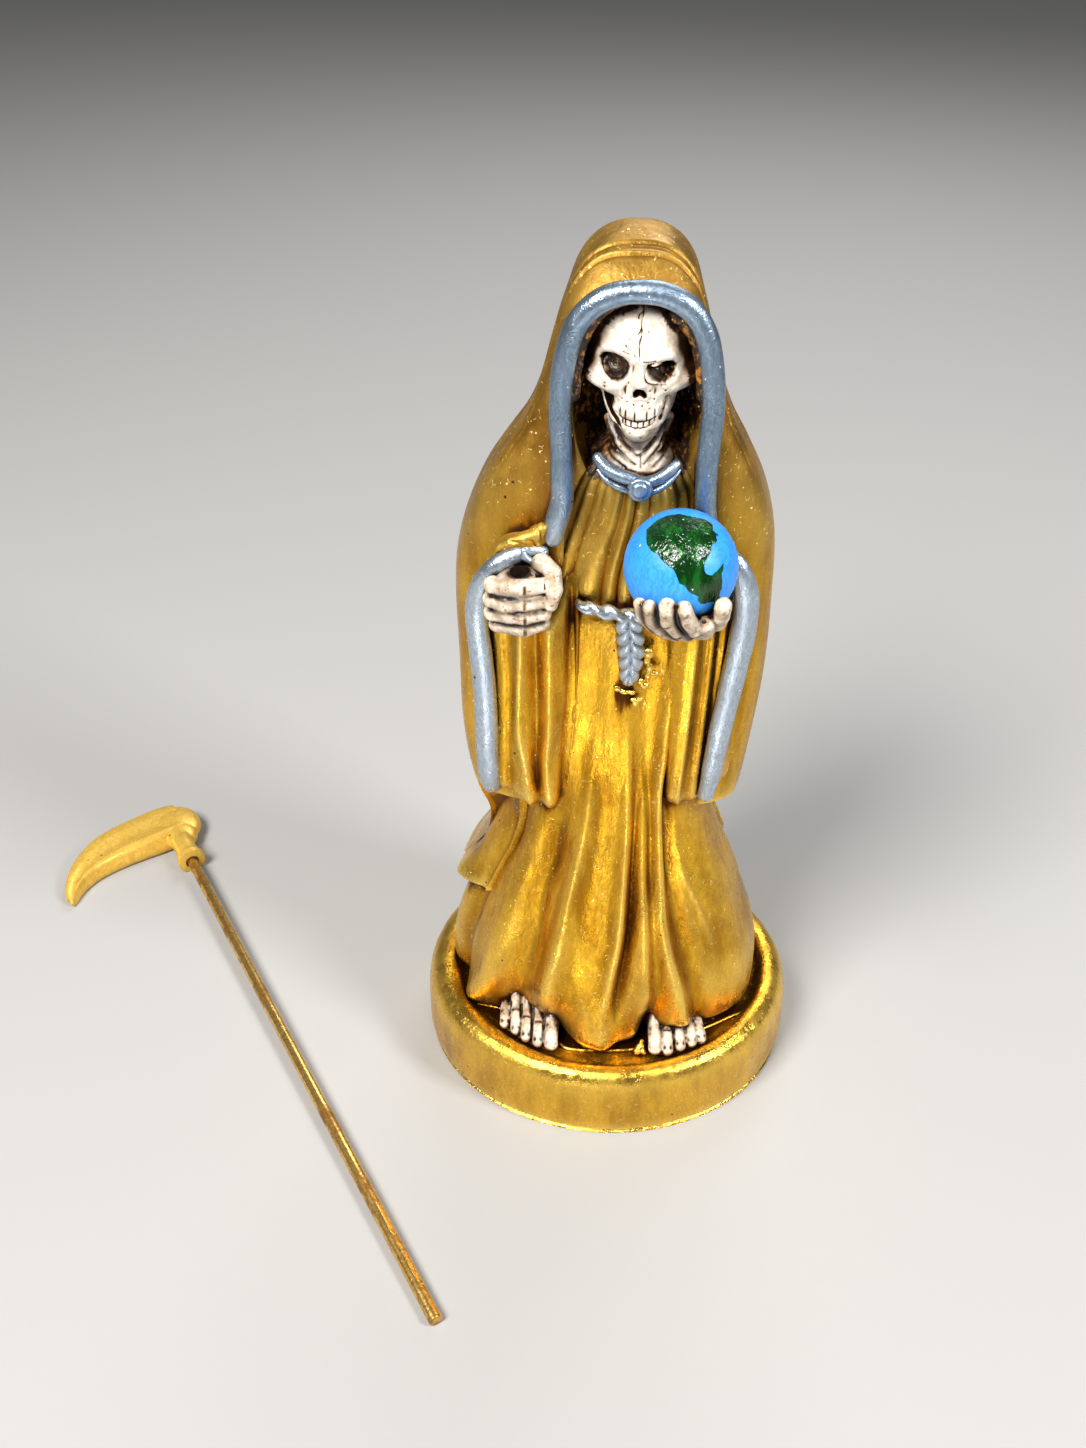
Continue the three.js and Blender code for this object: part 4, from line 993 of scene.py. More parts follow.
# Two rows of teeth meet along the mouth; each tooth is a small cushion between the line that
# the row's teeth grow from and the mouth.
mouth = line_at(x, (-1.2, 118.3), (-0.7, 118.13), (0.47, 117.73), (1.64, 117.58), (3.13, 117.72),
                (4.11, 118.01), (4.76, 118.38), (5.3, 118.8))
upper_gum = line_at(x, (-1.2, 119.6), (-0.4, 119.35), (0.9, 119.2), (2.4, 119.15), (3.6, 119.25),
                    (4.7, 119.6), (5.3, 119.9))
lower_gum = line_at(x, (-0.8, 117.3), (0.1, 116.95), (1.2, 116.8), (2.4, 116.8), (3.4, 116.95),
                    (4.2, 117.25), (5, 117.6))
for edges, low, high, round_low, round_high, steps in (
    ((-0.75, -0.35, 0.35, 1.55, 3.1, 4.12, 4.72, 5.2), mouth, upper_gum, 0, 0.12,
     ((0.42, 0, 0.2), (0.2, 0.1, 0.6))),
    ((-0.5, 0.05, 0.42, 1.12, 1.98, 2.7, 3.45, 4.1, 4.6), lower_gum, mouth, 0.1, 0,
     ((0.38, 0, 0.18), (0.16, 0.1, 0.45))),
):
    for left, right in zip(edges, edges[1:]):
        middle, half = (left + right) / 2, (right - left) / 2
        rounding = bell(x - middle, half)
        up_and_down = np.minimum(z - low + round_low * rounding, high - z + round_high * rounding)
        tooth = np.minimum(half - np.abs(x - middle), up_and_down)
        pushed += sum(push * ease(start, end, tooth) for push, start, end in steps)
mouth_span = ease(-1.4, -0.8, x) * (1 - ease(4.8, 5.4, x))
pushed -= 0.22 * bell(z - mouth, 0.12) * mouth_span + 0.12 * bell(z - lower_gum + 0.1, 0.15) * mouth_span
wider = 1 + 0.1 * ease(-10, -6, y) * ease(113, 117, z) + 0.06 * bell(z - 122.7, 1.3) * ease(-9, -5, y)
move_to(skull, np.stack([HEAD[0] + (x - HEAD[0]) * wider, y - pushed * ease(-4.6, -7.2, y), z], axis=1))

# A crust of clay lumps lies along the inside of the hood, left and right of the skull.
LINING = [
    route([(0.2, -7.7, 133.2), (-2.6, -7.8, 132), (-5, -7.8, 129), (-6.2, -7.9, 125.6), (-6.6, -8, 122.6),
           (-6.7, -8.2, 119)], 30),
    route([(6.4, -7.6, 131.2), (8.8, -7.7, 128.4), (9.9, -7.8, 125.2), (10.3, -8, 122.4),
           (10.4, -8.2, 119.4)], 24),
]
lumps = []
for line in LINING:
    lumps += limb(line[::3], [1.0] * len(line[::3]))
    for k, (x, y, z) in enumerate(line):
        middle = (x + 0.5 * math.sin(5.1 * k), y - 0.5, z + 0.3 * math.cos(3.7 * k))
        lumps.append(ball(middle, 0.45 + 0.2 * math.sin(7.3 * k)))
lining_lumps = fused("lining_lumps", lumps, 0.16, 1, gold_paint)


# The fist closes four bony fingers and a thumb round the upright bore that the scythe's rod fits.
# inked gathers the lines that the painter's dark wash fills on the hands and feet: (line, width).
fist = fused("fist", [
    ball((-13.2, -15.4, 93.1), (4.7, 3.7, 4.9)),
    *[part for knuckle, middle, tip in (
        ((-16.9, -16.5, 95.7), (-12.5, -18.0, 96.4), (-9.9, -17.3, 96.5)),
        ((-17.0, -16.6, 93.6), (-12.5, -18.2, 94.1), (-9.9, -17.5, 94.2)),
        ((-16.9, -16.6, 91.5), (-12.5, -18.1, 91.9), (-9.9, -17.4, 92.1)),
        ((-16.4, -16.4, 89.7), (-12.5, -17.7, 89.9), (-10.1, -17.1, 90.5)))
      for part in limb([knuckle, middle, tip], [1.22, 1.28, 1.12])],
    *[ball(place, 1.3) for place in ((-16.9, -16.2, 95.7), (-17.1, -16.3, 93.6), (-17, -16.3, 91.5))],
    *limb([(-10.4, -14.4, 98.2), (-8.7, -16.3, 98.0), (-8.35, -17.4, 96), (-8.9, -17.9, 93.9)],
          [1.5, 1.2, 1.15, 1.0]),
    bone((-13.2, -13.6, 94.9), (-11.5, -9.5, 95), 2.6, 2.7),
    bone((-12.0, -13.6, 91), (-11.0, -10, 92), 3.2, 3.2),
], 0.15, 3)
finger_gaps = [
    [(-17.2, -17.2, 94.6), (-14.5, -18.6, 94.9), (-12.3, -19.3, 95.2), (-9.7, -18.6, 95.3)],
    [(-17.2, -17.2, 92.5), (-14.5, -18.6, 92.8), (-12.3, -19.2, 93.0), (-9.7, -18.6, 93.1)],
    [(-16.8, -17.2, 90.5), (-14.5, -18.3, 90.7), (-12.3, -18.9, 90.9), (-9.9, -18.2, 91.2)],
]
joint_line = [(-12.35, -19.1, 97.2), (-12.3, -19.4, 94.1), (-12.3, -19.3, 91.9), (-12.3, -18.8, 89.2)]
fist = carved(fist, [
    *[(line, 0.2, 0.35) for line in finger_gaps],
    (joint_line, 0.16, 0.3),
    ([(-9.7, -18.0, 98), (-9.6, -18.5, 96), (-9.9, -18.9, 93.5)], 0.18, 0.35),
    ([(-8.9, -17.4, 98.6), (-8.3, -17.9, 98.4), (-7.9, -17.5, 98)], 0.14, 0.2),
    ([(-9.0, -18.5, 95.2), (-8.2, -18.6, 95.1)], 0.13, 0.2),
    ([(-9.1, -18.9, 94.2), (-8.4, -18.8, 94.1)], 0.13, 0.18),
])
inked = [*[(line, 0.26) for line in finger_gaps], (joint_line, 0.13)]


# The other hand lies palm up under the globe, and its fingers and thumb curl up round it.
GLOBE = np.array((8.4, -18.5, 100.8))
GLOBE_RADIUS = 7.6


def on_globe(turn, rise, reach=8.5):
    a, b = math.radians(turn), math.radians(rise)
    way = np.array((math.sin(a) * math.cos(b), -math.cos(a) * math.cos(b), math.sin(b)))
    return tuple(GLOBE + reach * way)


finger_lines = [
    ([on_globe(-40, -16), on_globe(-42, -34), on_globe(-38, -52, 8.7)], [0.85, 0.95, 1.0]),
    ([on_globe(-29, -15), on_globe(-31, -35), on_globe(-26, -54, 8.7), on_globe(-6, -66, 8.9)],
     [0.95, 1.05, 1.1, 1.2]),
    ([on_globe(-12, -10), on_globe(-11, -29), on_globe(0, -46, 8.7), on_globe(15, -60, 8.8)],
     [1.15, 1.2, 1.25, 1.3]),
    ([on_globe(3, -11), on_globe(8, -26), on_globe(18, -42, 8.7), on_globe(32, -55, 8.8)],
     [1.05, 1.15, 1.25, 1.3]),
    ([on_globe(37, -10, 9.3), on_globe(41, -24, 9.0), on_globe(48, -40, 8.8)], [1.15, 1.2, 1.3]),
]
open_hand = fused("open_hand", [
    *[part for line, radii in finger_lines for part in limb(line, radii)],
    ball((9.2, -17.2, 92.8), (5.4, 5.6, 2.6)),
    *limb([on_globe(28, -34, 8.9), on_globe(36, -50, 8.9)], [1.2, 1.5]),
    bone((10.6, -14.6, 92.8), (13.6, -10.4, 92.2), 2.7, 2.9),
], 0.15, 2)
finger_creases = [
    [on_globe(-34.5, -14, 8.7), on_globe(-36, -34, 8.9), on_globe(-32, -54, 9.3)],
    [on_globe(-20.5, -10, 8.7), on_globe(-21, -32, 9.0), on_globe(-13, -50, 9.3), on_globe(5, -64, 9.7)],
    [on_globe(-4, -8, 8.8), on_globe(-1, -28, 9.0), on_globe(9, -45, 9.3), on_globe(24, -58, 9.7)],
    [on_globe(21, -20, 8.8), on_globe(28, -38, 9.2), on_globe(38, -52, 9.6)],
]
finger_joints = [
    [on_globe(-34, -33, 9.7), on_globe(-26, -35, 9.7)], [on_globe(-18, -33, 9.8), on_globe(-6, -27, 9.8)],
    [on_globe(2, -26, 9.8), on_globe(12, -20, 9.8)], [on_globe(-9, -50, 9.9), on_globe(4, -43, 9.9)],
    [on_globe(36, -20, 10.4), on_globe(44, -18, 10.4)], [on_globe(14, -48, 9.9), on_globe(24, -41, 9.9)],
]
nails = [[on_globe(turn + wide * math.cos(t / 3), rise + 4 * math.sin(t / 3), reach) for t in range(-9, 1)]
         for turn, wide, rise, reach in ((-29, 3.0, -17, 9.5), (3, 3.2, -13, 9.6), (37, 3.2, -12, 10.4))]
open_hand = carved(open_hand, [(line, 0.2, 0.3) for line in finger_creases]
                   + [(line, 0.15, 0.14) for line in finger_joints + nails])
inked += [(line, 0.34) for line in finger_creases] + [(line, 0.12) for line in finger_joints + nails]


# The globe is a painted ball: light blue, with one raised patch of glossy dark green land in front
# and a smaller one behind.
globe_paint, t, shader = material("globe_paint")
brush = placed(t, brush_effect, Size=0.8, Clouds=1.0)
crumbs = placed(t, speck_effect, Scale=1300.0, Share=0.05, Size=0.2)["Mask"]
wobble = times(t, sums(t, "SUBTRACT", noise(t, spot(t), 900.0), 0.5), 0.5)
land = ramp(t, sums(t, "ADD", recorded(t, "land"), wobble), -0.04, 0.04)
streak = noise(t, mapped(t, spot(t), (900.0, 900.0, 160.0), (0.5, 0.7, 0.3)), 1.0)
green = over(t, ramp(t, streak, 0.4, 0.7), (0.0006, 0.02, 0.0015), (0.004, 0.075, 0.007))
colour = coats(
    t, over(t, brush["Tone"], (0.014, 0.21, 0.66), (0.035, 0.31, 0.80)),
    (brush["Sheen"], 0.4, (0.03, 0.27, 0.76)),
    (land, 1, green),
    # Painted shade where the globe is sheltered by the hands and chest.
    (ramp(t, recorded(t, "occlusion_shade"), 0.5, 0.85, 0.0, 0.8), 1, (0.005, 0.02, 0.06)),
    (crumbs, 1, (0.7, 0.78, 0.8)))
feed(t, shader, {"Base Color": colour, "Roughness": ramp(t, land, 0, 1, 0.42, 0.14)})
thick_paint = times(t, land, sums(t, "ADD", times(t, streak, 1.6), 0.5))
dents(t, shader, (brush["Height"], 0.00012, 0.4), (thick_paint, 0.0003, 0.9))

globe = ball(tuple(GLOBE), GLOBE_RADIUS, around=150, up=90)
globe.name = "globe"
globe.data.materials.append(globe_paint)


# Two bare feet: five bony toes each, fanned out from under the hem. The first toe is the big one.
def foot(name, toes):
    parts, gaps, nails = [], [], []
    for k, (tip, back) in enumerate(toes):
        thick = 1.22 if k == 0 else 1.02
        low_end = 0.9 if k == 4 else 0.0
        tip, back = np.array((*tip, 12.2 + 0.6 * thick)), np.array((*back, 14.9 - low_end))
        joint = tip * 0.62 + back * 0.38 + np.array((0, 0, 0.45))
        inward = (back - tip) / np.linalg.norm(back - tip)
        heel = back + inward * 4 + np.array((0, 0, 1.2 - 2 * low_end))
        parts += limb([tip + inward * thick * 0.9, joint, back, heel],
                      [thick * 0.95, thick * 0.92, thick, thick])
    for (tip, back), (next_tip, next_back) in zip(toes, toes[1:]):
        tip, back = (np.array(tip) + next_tip) / 2, (np.array(back) + next_back) / 2
        inward = (back - tip) / np.linalg.norm(back - tip)
        parts += limb([(*(tip + inward * 1.5), 12.4), (*back, 14.4)], [0.8, 0.95])
        gaps.append([*[(*(tip + inward * run), rise) for run, rise in ((0.4, 12.6), (1.4, 13.5), (3, 14.6))],
                     (*back, 15.6)])
    for k, (tip, back) in enumerate(toes):
        tip, inward = np.array(tip), np.array(back) - np.array(tip)
        inward = inward / np.linalg.norm(inward)
        side = np.array((-inward[1], inward[0]))
        wide = 0.62 if k == 0 else 0.46
        nails.append([(*(tip + inward * (0.55 + wide * math.sin(a)) + side * wide * math.cos(a)), 13.9)
                      for a in np.linspace(0.2, 2.94, 9)])
        for run, rise in ((2.3, 14.4), (3.3, 15.3)):
            nails.append([(*(tip + inward * run + side * across), rise) for across in (0.7, -0.7)])
    inked.extend([*[(line, 0.17) for line in nails], *[(line, 0.2) for line in gaps]])
    return carved(fused(name, parts, 0.14, 2), [*[(line, 0.13, 0.14) for line in nails],
                                                *[(line, 0.2, 0.25) for line in gaps]])


# Each toe: where its tip and its root are on the ground.
fist_foot = foot("fist_foot", (((-8.3, -23.2), (-8.4, -18.4)), ((-10.5, -22.5), (-10.6, -17.2)),
                               ((-12.5, -21.5), (-12.6, -16.4)), ((-14.3, -20.1), (-14.5, -15.6)),
                               ((-16.2, -18.7), (-16.3, -15.2))))
globe_foot = foot("globe_foot", (((8.8, -22.9), (8.5, -18.4)), ((10.8, -22.9), (10.5, -17.6)),
                                 ((12.9, -21.8), (12.3, -17.2)), ((14.8, -20.8), (14.0, -16.8)),
                                 ((16.4, -19.9), (15.6, -16.6))))


# A thin bead of clay runs round the hem on the ground, with one crumb beside the toes.
hem_beads = [
    roll(f"hem_bead_{k}", [(x, y, GROUND + 0.15) for x, y in line], 0.26, 80, around=12, coat=gold_paint)
    for k, line in enumerate((
        ((-26.2, -9.6), (-24.8, -11.6), (-21.5, -12.4), (-19.6, -12.8), (-17.3, -13.3)),
        ((-7.0, -20.6), (-5.9, -21.5), (-3.5, -21.8), (-0.3, -21.7), (3, -21.4), (5.4, -20.9), (6.6, -19.9)),
        ((16.7, -15.6), (18.6, -14.4), (21.5, -12.4), (24.1, -10.7), (25.6, -8.6))))]
crumb = fused("crumb", [
    ball((6.4, -21.0, 12.4), (0.9, 0.7, 0.8)), ball((5.8, -21.7, 12.1), 0.6), ball((6.9, -21.7, 12.1), 0.5),
    ball((6.6, -20.3, 12.9), 0.55)], 0.15, 1, gold_paint)


# A twisted cord is tied round the waist. Its plaited end hangs down the front, with small gold
# nuggets stuck beside it.
cord = roll("cord", [(-5.6, -11.2, 90.6), (-4.6, -12.4, 90.6), (-2.6, -12.9, 90.3), (-0.4, -13.1, 90),
                     (1.4, -13.1, 89.6), (3.4, -12.6, 89.2), (5.6, -11.2, 89)],
            [(0, 0.7), (0.3, 0.95), (0.6, 1.0), (1, 0.8)], 150, around=36,
            twist=lambda turn, s: 1 + 0.2 * np.cos(2 * (turn - s * 1.15)))


def plait(turn, s):
    across = np.cos(turn)
    chevron = np.abs(np.sin(math.pi * (s - 1.7 * np.abs(across)) / 2.2))
    return (0.78 + 0.34 * chevron ** 0.5) * (1 - 0.3 * bell(across, 0.14))


tail = roll("tail", [(1.5, -12.3, 90.6), (1.7, -13.0, 89), (2.1, -12.9, 86), (2.3, -12.7, 83),
                     (2.15, -12.5, 80), (1.9, -12.3, 77.6)],
            [(0, 1.5), (0.2, 1.75), (0.5, 1.8), (0.8, 1.45), (1, 1.05)], 180, around=60, flat=0.62,
            twist=plait)

nuggets = fused("nuggets", [ball(place, size) for place, size in (
    ((4.7, -12.3, 83.2), (0.9, 0.6, 0.95)), ((4.5, -12.3, 82.0), (0.6, 0.5, 0.7)),
    ((5.0, -12.2, 80.7), (0.6, 0.5, 0.9)), ((5.7, -12.1, 79.8), (0.7, 0.45, 0.4)),
    ((4.8, -12.2, 79.4), (0.5, 0.45, 0.7)), ((4.4, -12.1, 77.6), (0.7, 0.45, 0.5)),
    ((3.8, -12.1, 78.3), (0.5, 0.45, 0.6)), ((3.2, -12.0, 74.4), (0.5, 0.35, 0.7)),
    ((3.8, -12.0, 75.1), (0.5, 0.35, 0.4)), ((2.8, -12.0, 75.0), (0.45, 0.35, 0.35)),
    ((0.5, -12.1, 76.9), (0.6, 0.4, 0.6)), ((1.5, -12.1, 76.4), (0.8, 0.45, 0.45)),
    ((2.6, -12.1, 76.3), (0.6, 0.4, 0.4)))], 0.14, 2, gold_paint)


# The cloth is gathered above the fist in a gold ruffle, with a curl of the silver roll below it.
ruffle = carved(fused("ruffle", [
    *limb([(-17.4, -12.0, 97.6), (-16.0, -12.2, 99.2), (-14.4, -12.4, 100.2), (-12.8, -12.5, 100.9),
           (-11.4, -12.2, 101.4), (-10.4, -11.7, 102.2)], [0.7, 1.0, 1.15, 1.15, 1.1, 0.9]),
    *limb([(-15.0, -12.5, 99.2), (-13.2, -12.7, 99.8), (-11.4, -12.5, 100.1)], [0.9, 1.0, 1.0]),
    ball((-13.4, -11.4, 99.6), (3.2, 1.9, 1.6)), ball((-11.0, -11.2, 100.6), (1.7, 1.5, 1.9)),
], 0.15, 6, gold_paint), [
    ([(-16.4, -13.1, 98.8), (-15.2, -13.5, 99.6), (-14.0, -13.7, 99.9)], 0.22, 0.2),
    ([(-14.9, -13.3, 101.0), (-13.6, -13.7, 100.9), (-12.4, -13.8, 100.5)], 0.2, 0.25),
    ([(-12.4, -13.7, 101.3), (-11.6, -13.5, 101.0), (-11.2, -13.4, 100.2)], 0.2, 0.3),
    ([(-11.0, -13.0, 102.8), (-10.5, -12.9, 102.0), (-10.4, -12.9, 101.0)], 0.2, 0.3),
])
curl = fused("curl", limb([
    (-12.9, -13.9, 100.0), (-12.7, -14.2, 99.0), (-11.8, -14.2, 98.5), (-10.8, -13.9, 98.7),
    (-10.0, -13.3, 99.4),
], [0.4, 0.5, 0.55, 0.5, 0.4]), 0.13, 1, silver_paint)


# All of it is one casting, thinned to a little under 200,000 triangles. The fist keeps the bore
# for the rod.
BORE = (-13.3, -15.8)
BORE_RADIUS = 1.35
FIGURE_TRIANGLES = 195000


def round_bar(sides, radius, length, middle, lean=0):
    """A plain cylinder, upright or leaning over towards X."""
    bpy.ops.object.select_all(action="DESELECT")
    bpy.ops.mesh.primitive_cylinder_add(vertices=sides, radius=radius, depth=length, location=middle,
                                        rotation=(0, lean, 0))
    bpy.ops.object.transform_apply(location=True, rotation=True, scale=True)
    return bpy.context.object


def smoothed(piece, degrees):
    picked(piece)
    bpy.ops.object.shade_smooth_by_angle(angle=math.radians(degrees))


casting = plinth
for piece in (gown, cloak, fist_sleeve, globe_sleeve, ruffle):
    casting = combined(casting, piece, "UNION")
details = neck
for piece in (hood_trim, fist_trim, globe_trim, collar, collar_lip, clasp, curl, cord, tail, nuggets,
              *hem_beads, crumb, lining_lumps, skull, fist, open_hand, globe, fist_foot, globe_foot):
    details = combined(details, piece, "UNION")
casting = combined(casting, details, "UNION")
bore = round_bar(28, BORE_RADIUS, 13, (*BORE, 92.1))
bore.data.materials.append(bone_paint)
casting = combined(casting, bore, "DIFFERENCE")
casting.data.calc_loop_triangles()
worked(casting, "DECIMATE", ratio=FIGURE_TRIANGLES / len(casting.data.loop_triangles))


# Where the painter's brown wash stays: fine creases and inked lines; sheltered places get painted
# shade. Where it is rubbed off again: crests. Broad ridges get a painted highlight and broad valleys
# painted shade. The land on the globe is a drawn outline. All of it is kept on the points.
SEEN = 9.0
RAYS = 14
WIDEST = 0.94
places = places_of(casting)
facing = places_of(casting, "normal")
count = len(places)
pairs = np.empty(len(casting.data.edges) * 2, int)
casting.data.edges.foreach_get("vertices", pairs)
pairs = pairs.reshape(-1, 2)
ends = np.concatenate([pairs[:, 0], pairs[:, 1]])
others = np.concatenate([pairs[:, 1], pairs[:, 0]])
neighbours = np.bincount(ends, minlength=count)[:, None]


def evened(values, rounds):
    """Each point's values mixed with its neighbours', again and again."""
    for _ in range(rounds):
        mean = np.stack([np.bincount(ends, weights=column[others], minlength=count)
                         for column in values.T], axis=1) / neighbours
        values = 0.5 * values + 0.5 * mean
    return values


lengths = np.linalg.norm(places[ends] - places[others], axis=1)
spacing = evened(np.bincount(ends, weights=lengths, minlength=count)[:, None] / neighbours, 6)[:, 0]


def bulge(rounds):
    """How deep each point lies below its surroundings, against their width."""
    deep = np.sum((evened(places, rounds) - places) * facing, axis=1) / (spacing * math.sqrt(rounds))
    return evened(deep[:, None], 2)[:, 0]


def part_way(values, low, high):
    """How far values are on the way from low to high, from 0 to 1."""
    return np.clip((values - low) / (high - low), 0, 1)


# How much of the space in front of each point is taken up, by rays spread evenly over it. This is the
# painted shade.
tree = BVHTree.FromPolygons(places.tolist(), [tuple(face.vertices) for face in casting.data.polygons])
golden = math.pi * (3 - math.sqrt(5))
rays = [Vector((math.sqrt(r) * math.cos(golden * k), math.sqrt(r) * math.sin(golden * k), math.sqrt(1 - r)))
        for k, r in ((k, (k + 0.5) / RAYS * WIDEST) for k in range(RAYS))]
occlusion_shade = np.zeros(count)
for i, (place, normal) in enumerate(zip(places.tolist(), facing.tolist())):
    normal = Vector(normal)
    turn = normal.to_track_quat("Z", "Y").to_matrix()
    start = Vector(place) + normal * 0.06
    found = [tree.ray_cast(start, turn @ ray, SEEN)[3] for ray in rays]
    occlusion_shade[i] = sum(1 - far / SEEN for far in found if far is not None) / RAYS
occlusion_shade = evened(occlusion_shade[:, None], 2)[:, 0]
x, y, z = places.T
# Less painted shade on the chest and on the ground, and a painted shadow along the foot of the plinth.
chest = ease(91, 95, z) * (1 - ease(108, 110, z)) * (y < -6) * (np.abs(x - 1) < 9)
occlusion_shade = occlusion_shade * (1 - 0.6 * chest) * (1 - 0.25 * (z < 12.4) * (z > 3))
occlusion_shade = np.maximum(occlusion_shade, 0.42 * (1 - ease(0, 2.2, z)))

# The land, seen from its own front: (across, up) from the globe's middle.
LAND = [
    (-0.7, 6.4), (0.5, 6.0), (1.6, 5.8), (2.8, 5.6), (3.5, 5.1), (3.8, 4.6), (3.6, 4.0), (4.2, 3.6),
    (4.6, 3.1), (3.9, 3.3), (4.2, 2.5), (3.3, 2.1), (3.3, 1.4), (2.9, 0.6), (2.6, 0.3), (2.4, -0.3), (2.3, -1.1),
    (2.7, -1.7), (3.3, -1.9), (3.9, -1.4), (4.5, -0.9), (5.0, -0.1), (5.0, -0.8), (4.6, -1.6), (4.8, -2.4),
    (4.8, -3.3), (4.4, -4.1), (4.8, -4.4), (4.3, -4.9), (3.1, -5.2), (2.2, -5.4), (1.7, -4.9), (1.9, -4.5),
    (1.1, -4.3), (0.4, -3.9), (-0.1, -3.2), (-0.8, -3.0), (-1.2, -2.3), (-1.2, -2.0), (-1.6, -1.1),
    (-2.2, -0.8), (-2.8, -0.2), (-3.2, 0.3), (-3.6, 0.9), (-4.4, 1.3), (-4.8, 2.2), (-4.9, 3.2), (-4.8, 4.2),
    (-4.3, 4.8), (-3.5, 5.5), (-2.3, 6.1), (-1.4, 6.2)]
BACK_LAND = [(-4, 3), (-1, 5), (2, 4.5), (4.2, 2), (3.4, -1), (1.5, -2), (0.8, -4.6), (-1, -4), (-1.6, -1),
             (-3.6, 0)]
aside, above, ahead = [(places - GLOBE) @ np.array(way) for way in (
    (0.998, 0.069, 0), (-0.039, 0.567, 0.823), (-0.03, -0.878, 0.477))]
land = np.where(ahead > 0, inside(aside, above, LAND), inside(-aside, above, BACK_LAND))

# Stain and shade: real brown stain in the sockets and on the hood's lumps; in the hood, partly a brown
# crust and partly painted shade; painted shade in and over the fist's bore; round the neck and thinly
# on the hands and feet, stain darkened by painted shade.
crest = np.clip(-bulge(12) / 0.25, 0, 1)
broad = bulge(60)
face = (y < -4.5) * (z > 114)
from_bore = np.hypot(x - BORE[0], y - BORE[1])
stain_and_shade = np.zeros(count)
for socket, kept, eye, width in ((LEFT_SOCKET, 0.15, LEFT_EYE, 0.8), (RIGHT_SOCKET, 0.25, RIGHT_EYE, 0.7)):
    eyeball = bell(np.hypot(x - eye[0], z - eye[1]), width)
    stain_and_shade = np.maximum(stain_and_shade, face * ease(-0.1, 0.45, inside(x, z, socket)) * (1 - kept * eyeball))
stain_and_shade = np.maximum(stain_and_shade, face * ease(-0.1, 0.3, inside(x, z, NOSE_HOLE)))
# Inside the hood: partly a brown crust, partly painted shade.
outward = facing[:, 0] * (x - 1.8) + facing[:, 1] * (y + 9) + 0.6 * facing[:, 2] * (z - 118.5)
from_head = np.hypot(x - 2, y + 3)
in_hood = (from_head < 7.7 - 0.7 * ease(131, 133.5, z)) | (outward < 0) & (from_head < 10)
stain_and_shade = np.maximum(stain_and_shade, ease(-6.6, -4.6, y) * (z > 114) * in_hood * (z < 134))
# Round the neck the stain is darkened by painted shade further back and on the left, and lighter on crests.
around_neck = (z > 108) * (z < 116.5) * (np.hypot(x - 2, y + 4) < 7.2)
neck_stain_and_shade = (0.55 + 0.2 * ripple(x, y, z, 1.4, 7) - 0.35 * crest + 0.4 * ease(-9.4, -7.4, y)
              + 0.2 * ease(2, -2, x))
stain_and_shade = np.maximum(stain_and_shade, around_neck * neck_stain_and_shade)
for line in LINING:
    stain_and_shade = np.maximum(stain_and_shade, 0.95 * (away_from(places, line) < 1.9))
# Painted shade over the fist and in its bore.
over_fist = ease(95.8, 96.9, z) * (z < 99.5) * bell(np.hypot(x + 13.4, y + 15.4), 3.0)
in_bore = (from_bore < 1.6) * (z < 99) * (z > 80)
# On the hands and feet: a thin stain, lighter on crests and darkened by painted shade where sheltered.
bare = (z < 98.5) & (z > 85) & (y < -13.5) | (z < 18)
bare_stain_and_shade = (0.42 * (1 - 0.9 * crest) + 0.6 * ease(0.22, 0.6, occlusion_shade)) * bare
for part in (0.9 * over_fist, in_bore, bare_stain_and_shade):
    stain_and_shade = np.maximum(stain_and_shade, part)

# Ink and shade: the near-black line in a groove, a crack or a pit, and painted shade in the bore and
# round its mouth.
ink_and_shade = np.maximum((from_bore < 1.55) * (z > 80) * (z < 98.8),
                 0.62 * (1 - ease(1.5, 3.6, from_bore)) * ease(96.3, 97.2, z) * (z < 99) * (y > -17.6))
for line, width in inked:
    reach = away_from(places, route(line, 60)) / width
    ink_and_shade = np.maximum(ink_and_shade, np.clip(1.6 - reach, 0, 1))
    stain_and_shade = np.maximum(stain_and_shade, 0.8 * np.clip(1.5 - reach / 2.4, 0, 1))
for crack, width in CRACKS:
    dark = np.clip(1.35 + 0.5 * ripple(x, y, z, 0.5, 3) - from_line(x, z, crack) / width, 0, 1)
    ink_and_shade = np.maximum(ink_and_shade, face * dark * (0.95 if width > 0.085 else 0.6))
for fold in NECK_FOLDS:
    dark = (0.75 - 0.3 * ripple(x, y, z, 0.9, 2)) * np.clip(1.5 - from_line(x, z, fold) / 0.12, 0, 1)
    ink_and_shade = np.maximum(ink_and_shade, around_neck * (y < -6.5) * dark)
for pit_x, pit_z, wide in PITS:
    ink_and_shade = np.maximum(ink_and_shade, face * np.clip(1.5 - np.hypot(x - pit_x, z - pit_z) / (0.75 * wide), 0, 1))

for label, values in (
    ("occlusion_shade", occlusion_shade), ("crest", crest), ("land", land), ("ink_and_shade", ink_and_shade), ("stain_and_shade", np.clip(stain_and_shade, 0, 1)),
    ("crease", part_way(bulge(3), 0.03, 0.17)), ("hollow", part_way(bulge(24), 0.07, 0.35)),
    # A painted highlight on broad ridges and on the chest.
    ("highlit_ridge", np.clip(-broad / 0.15 + 0.5 * chest, 0, 1)),
    # Painted shade in broad valleys below the neck.
    ("shaded_valley", part_way(broad, 0.01, 0.14) * (z < 112)),
):
    casting.data.attributes.new(label, "FLOAT", "POINT").data.foreach_set("value", values)
casting.name = "painted_figure"
move_to(casting, places_of(casting) / 1000)
smoothed(casting, 50)
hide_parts("figure")
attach(casting, "root")


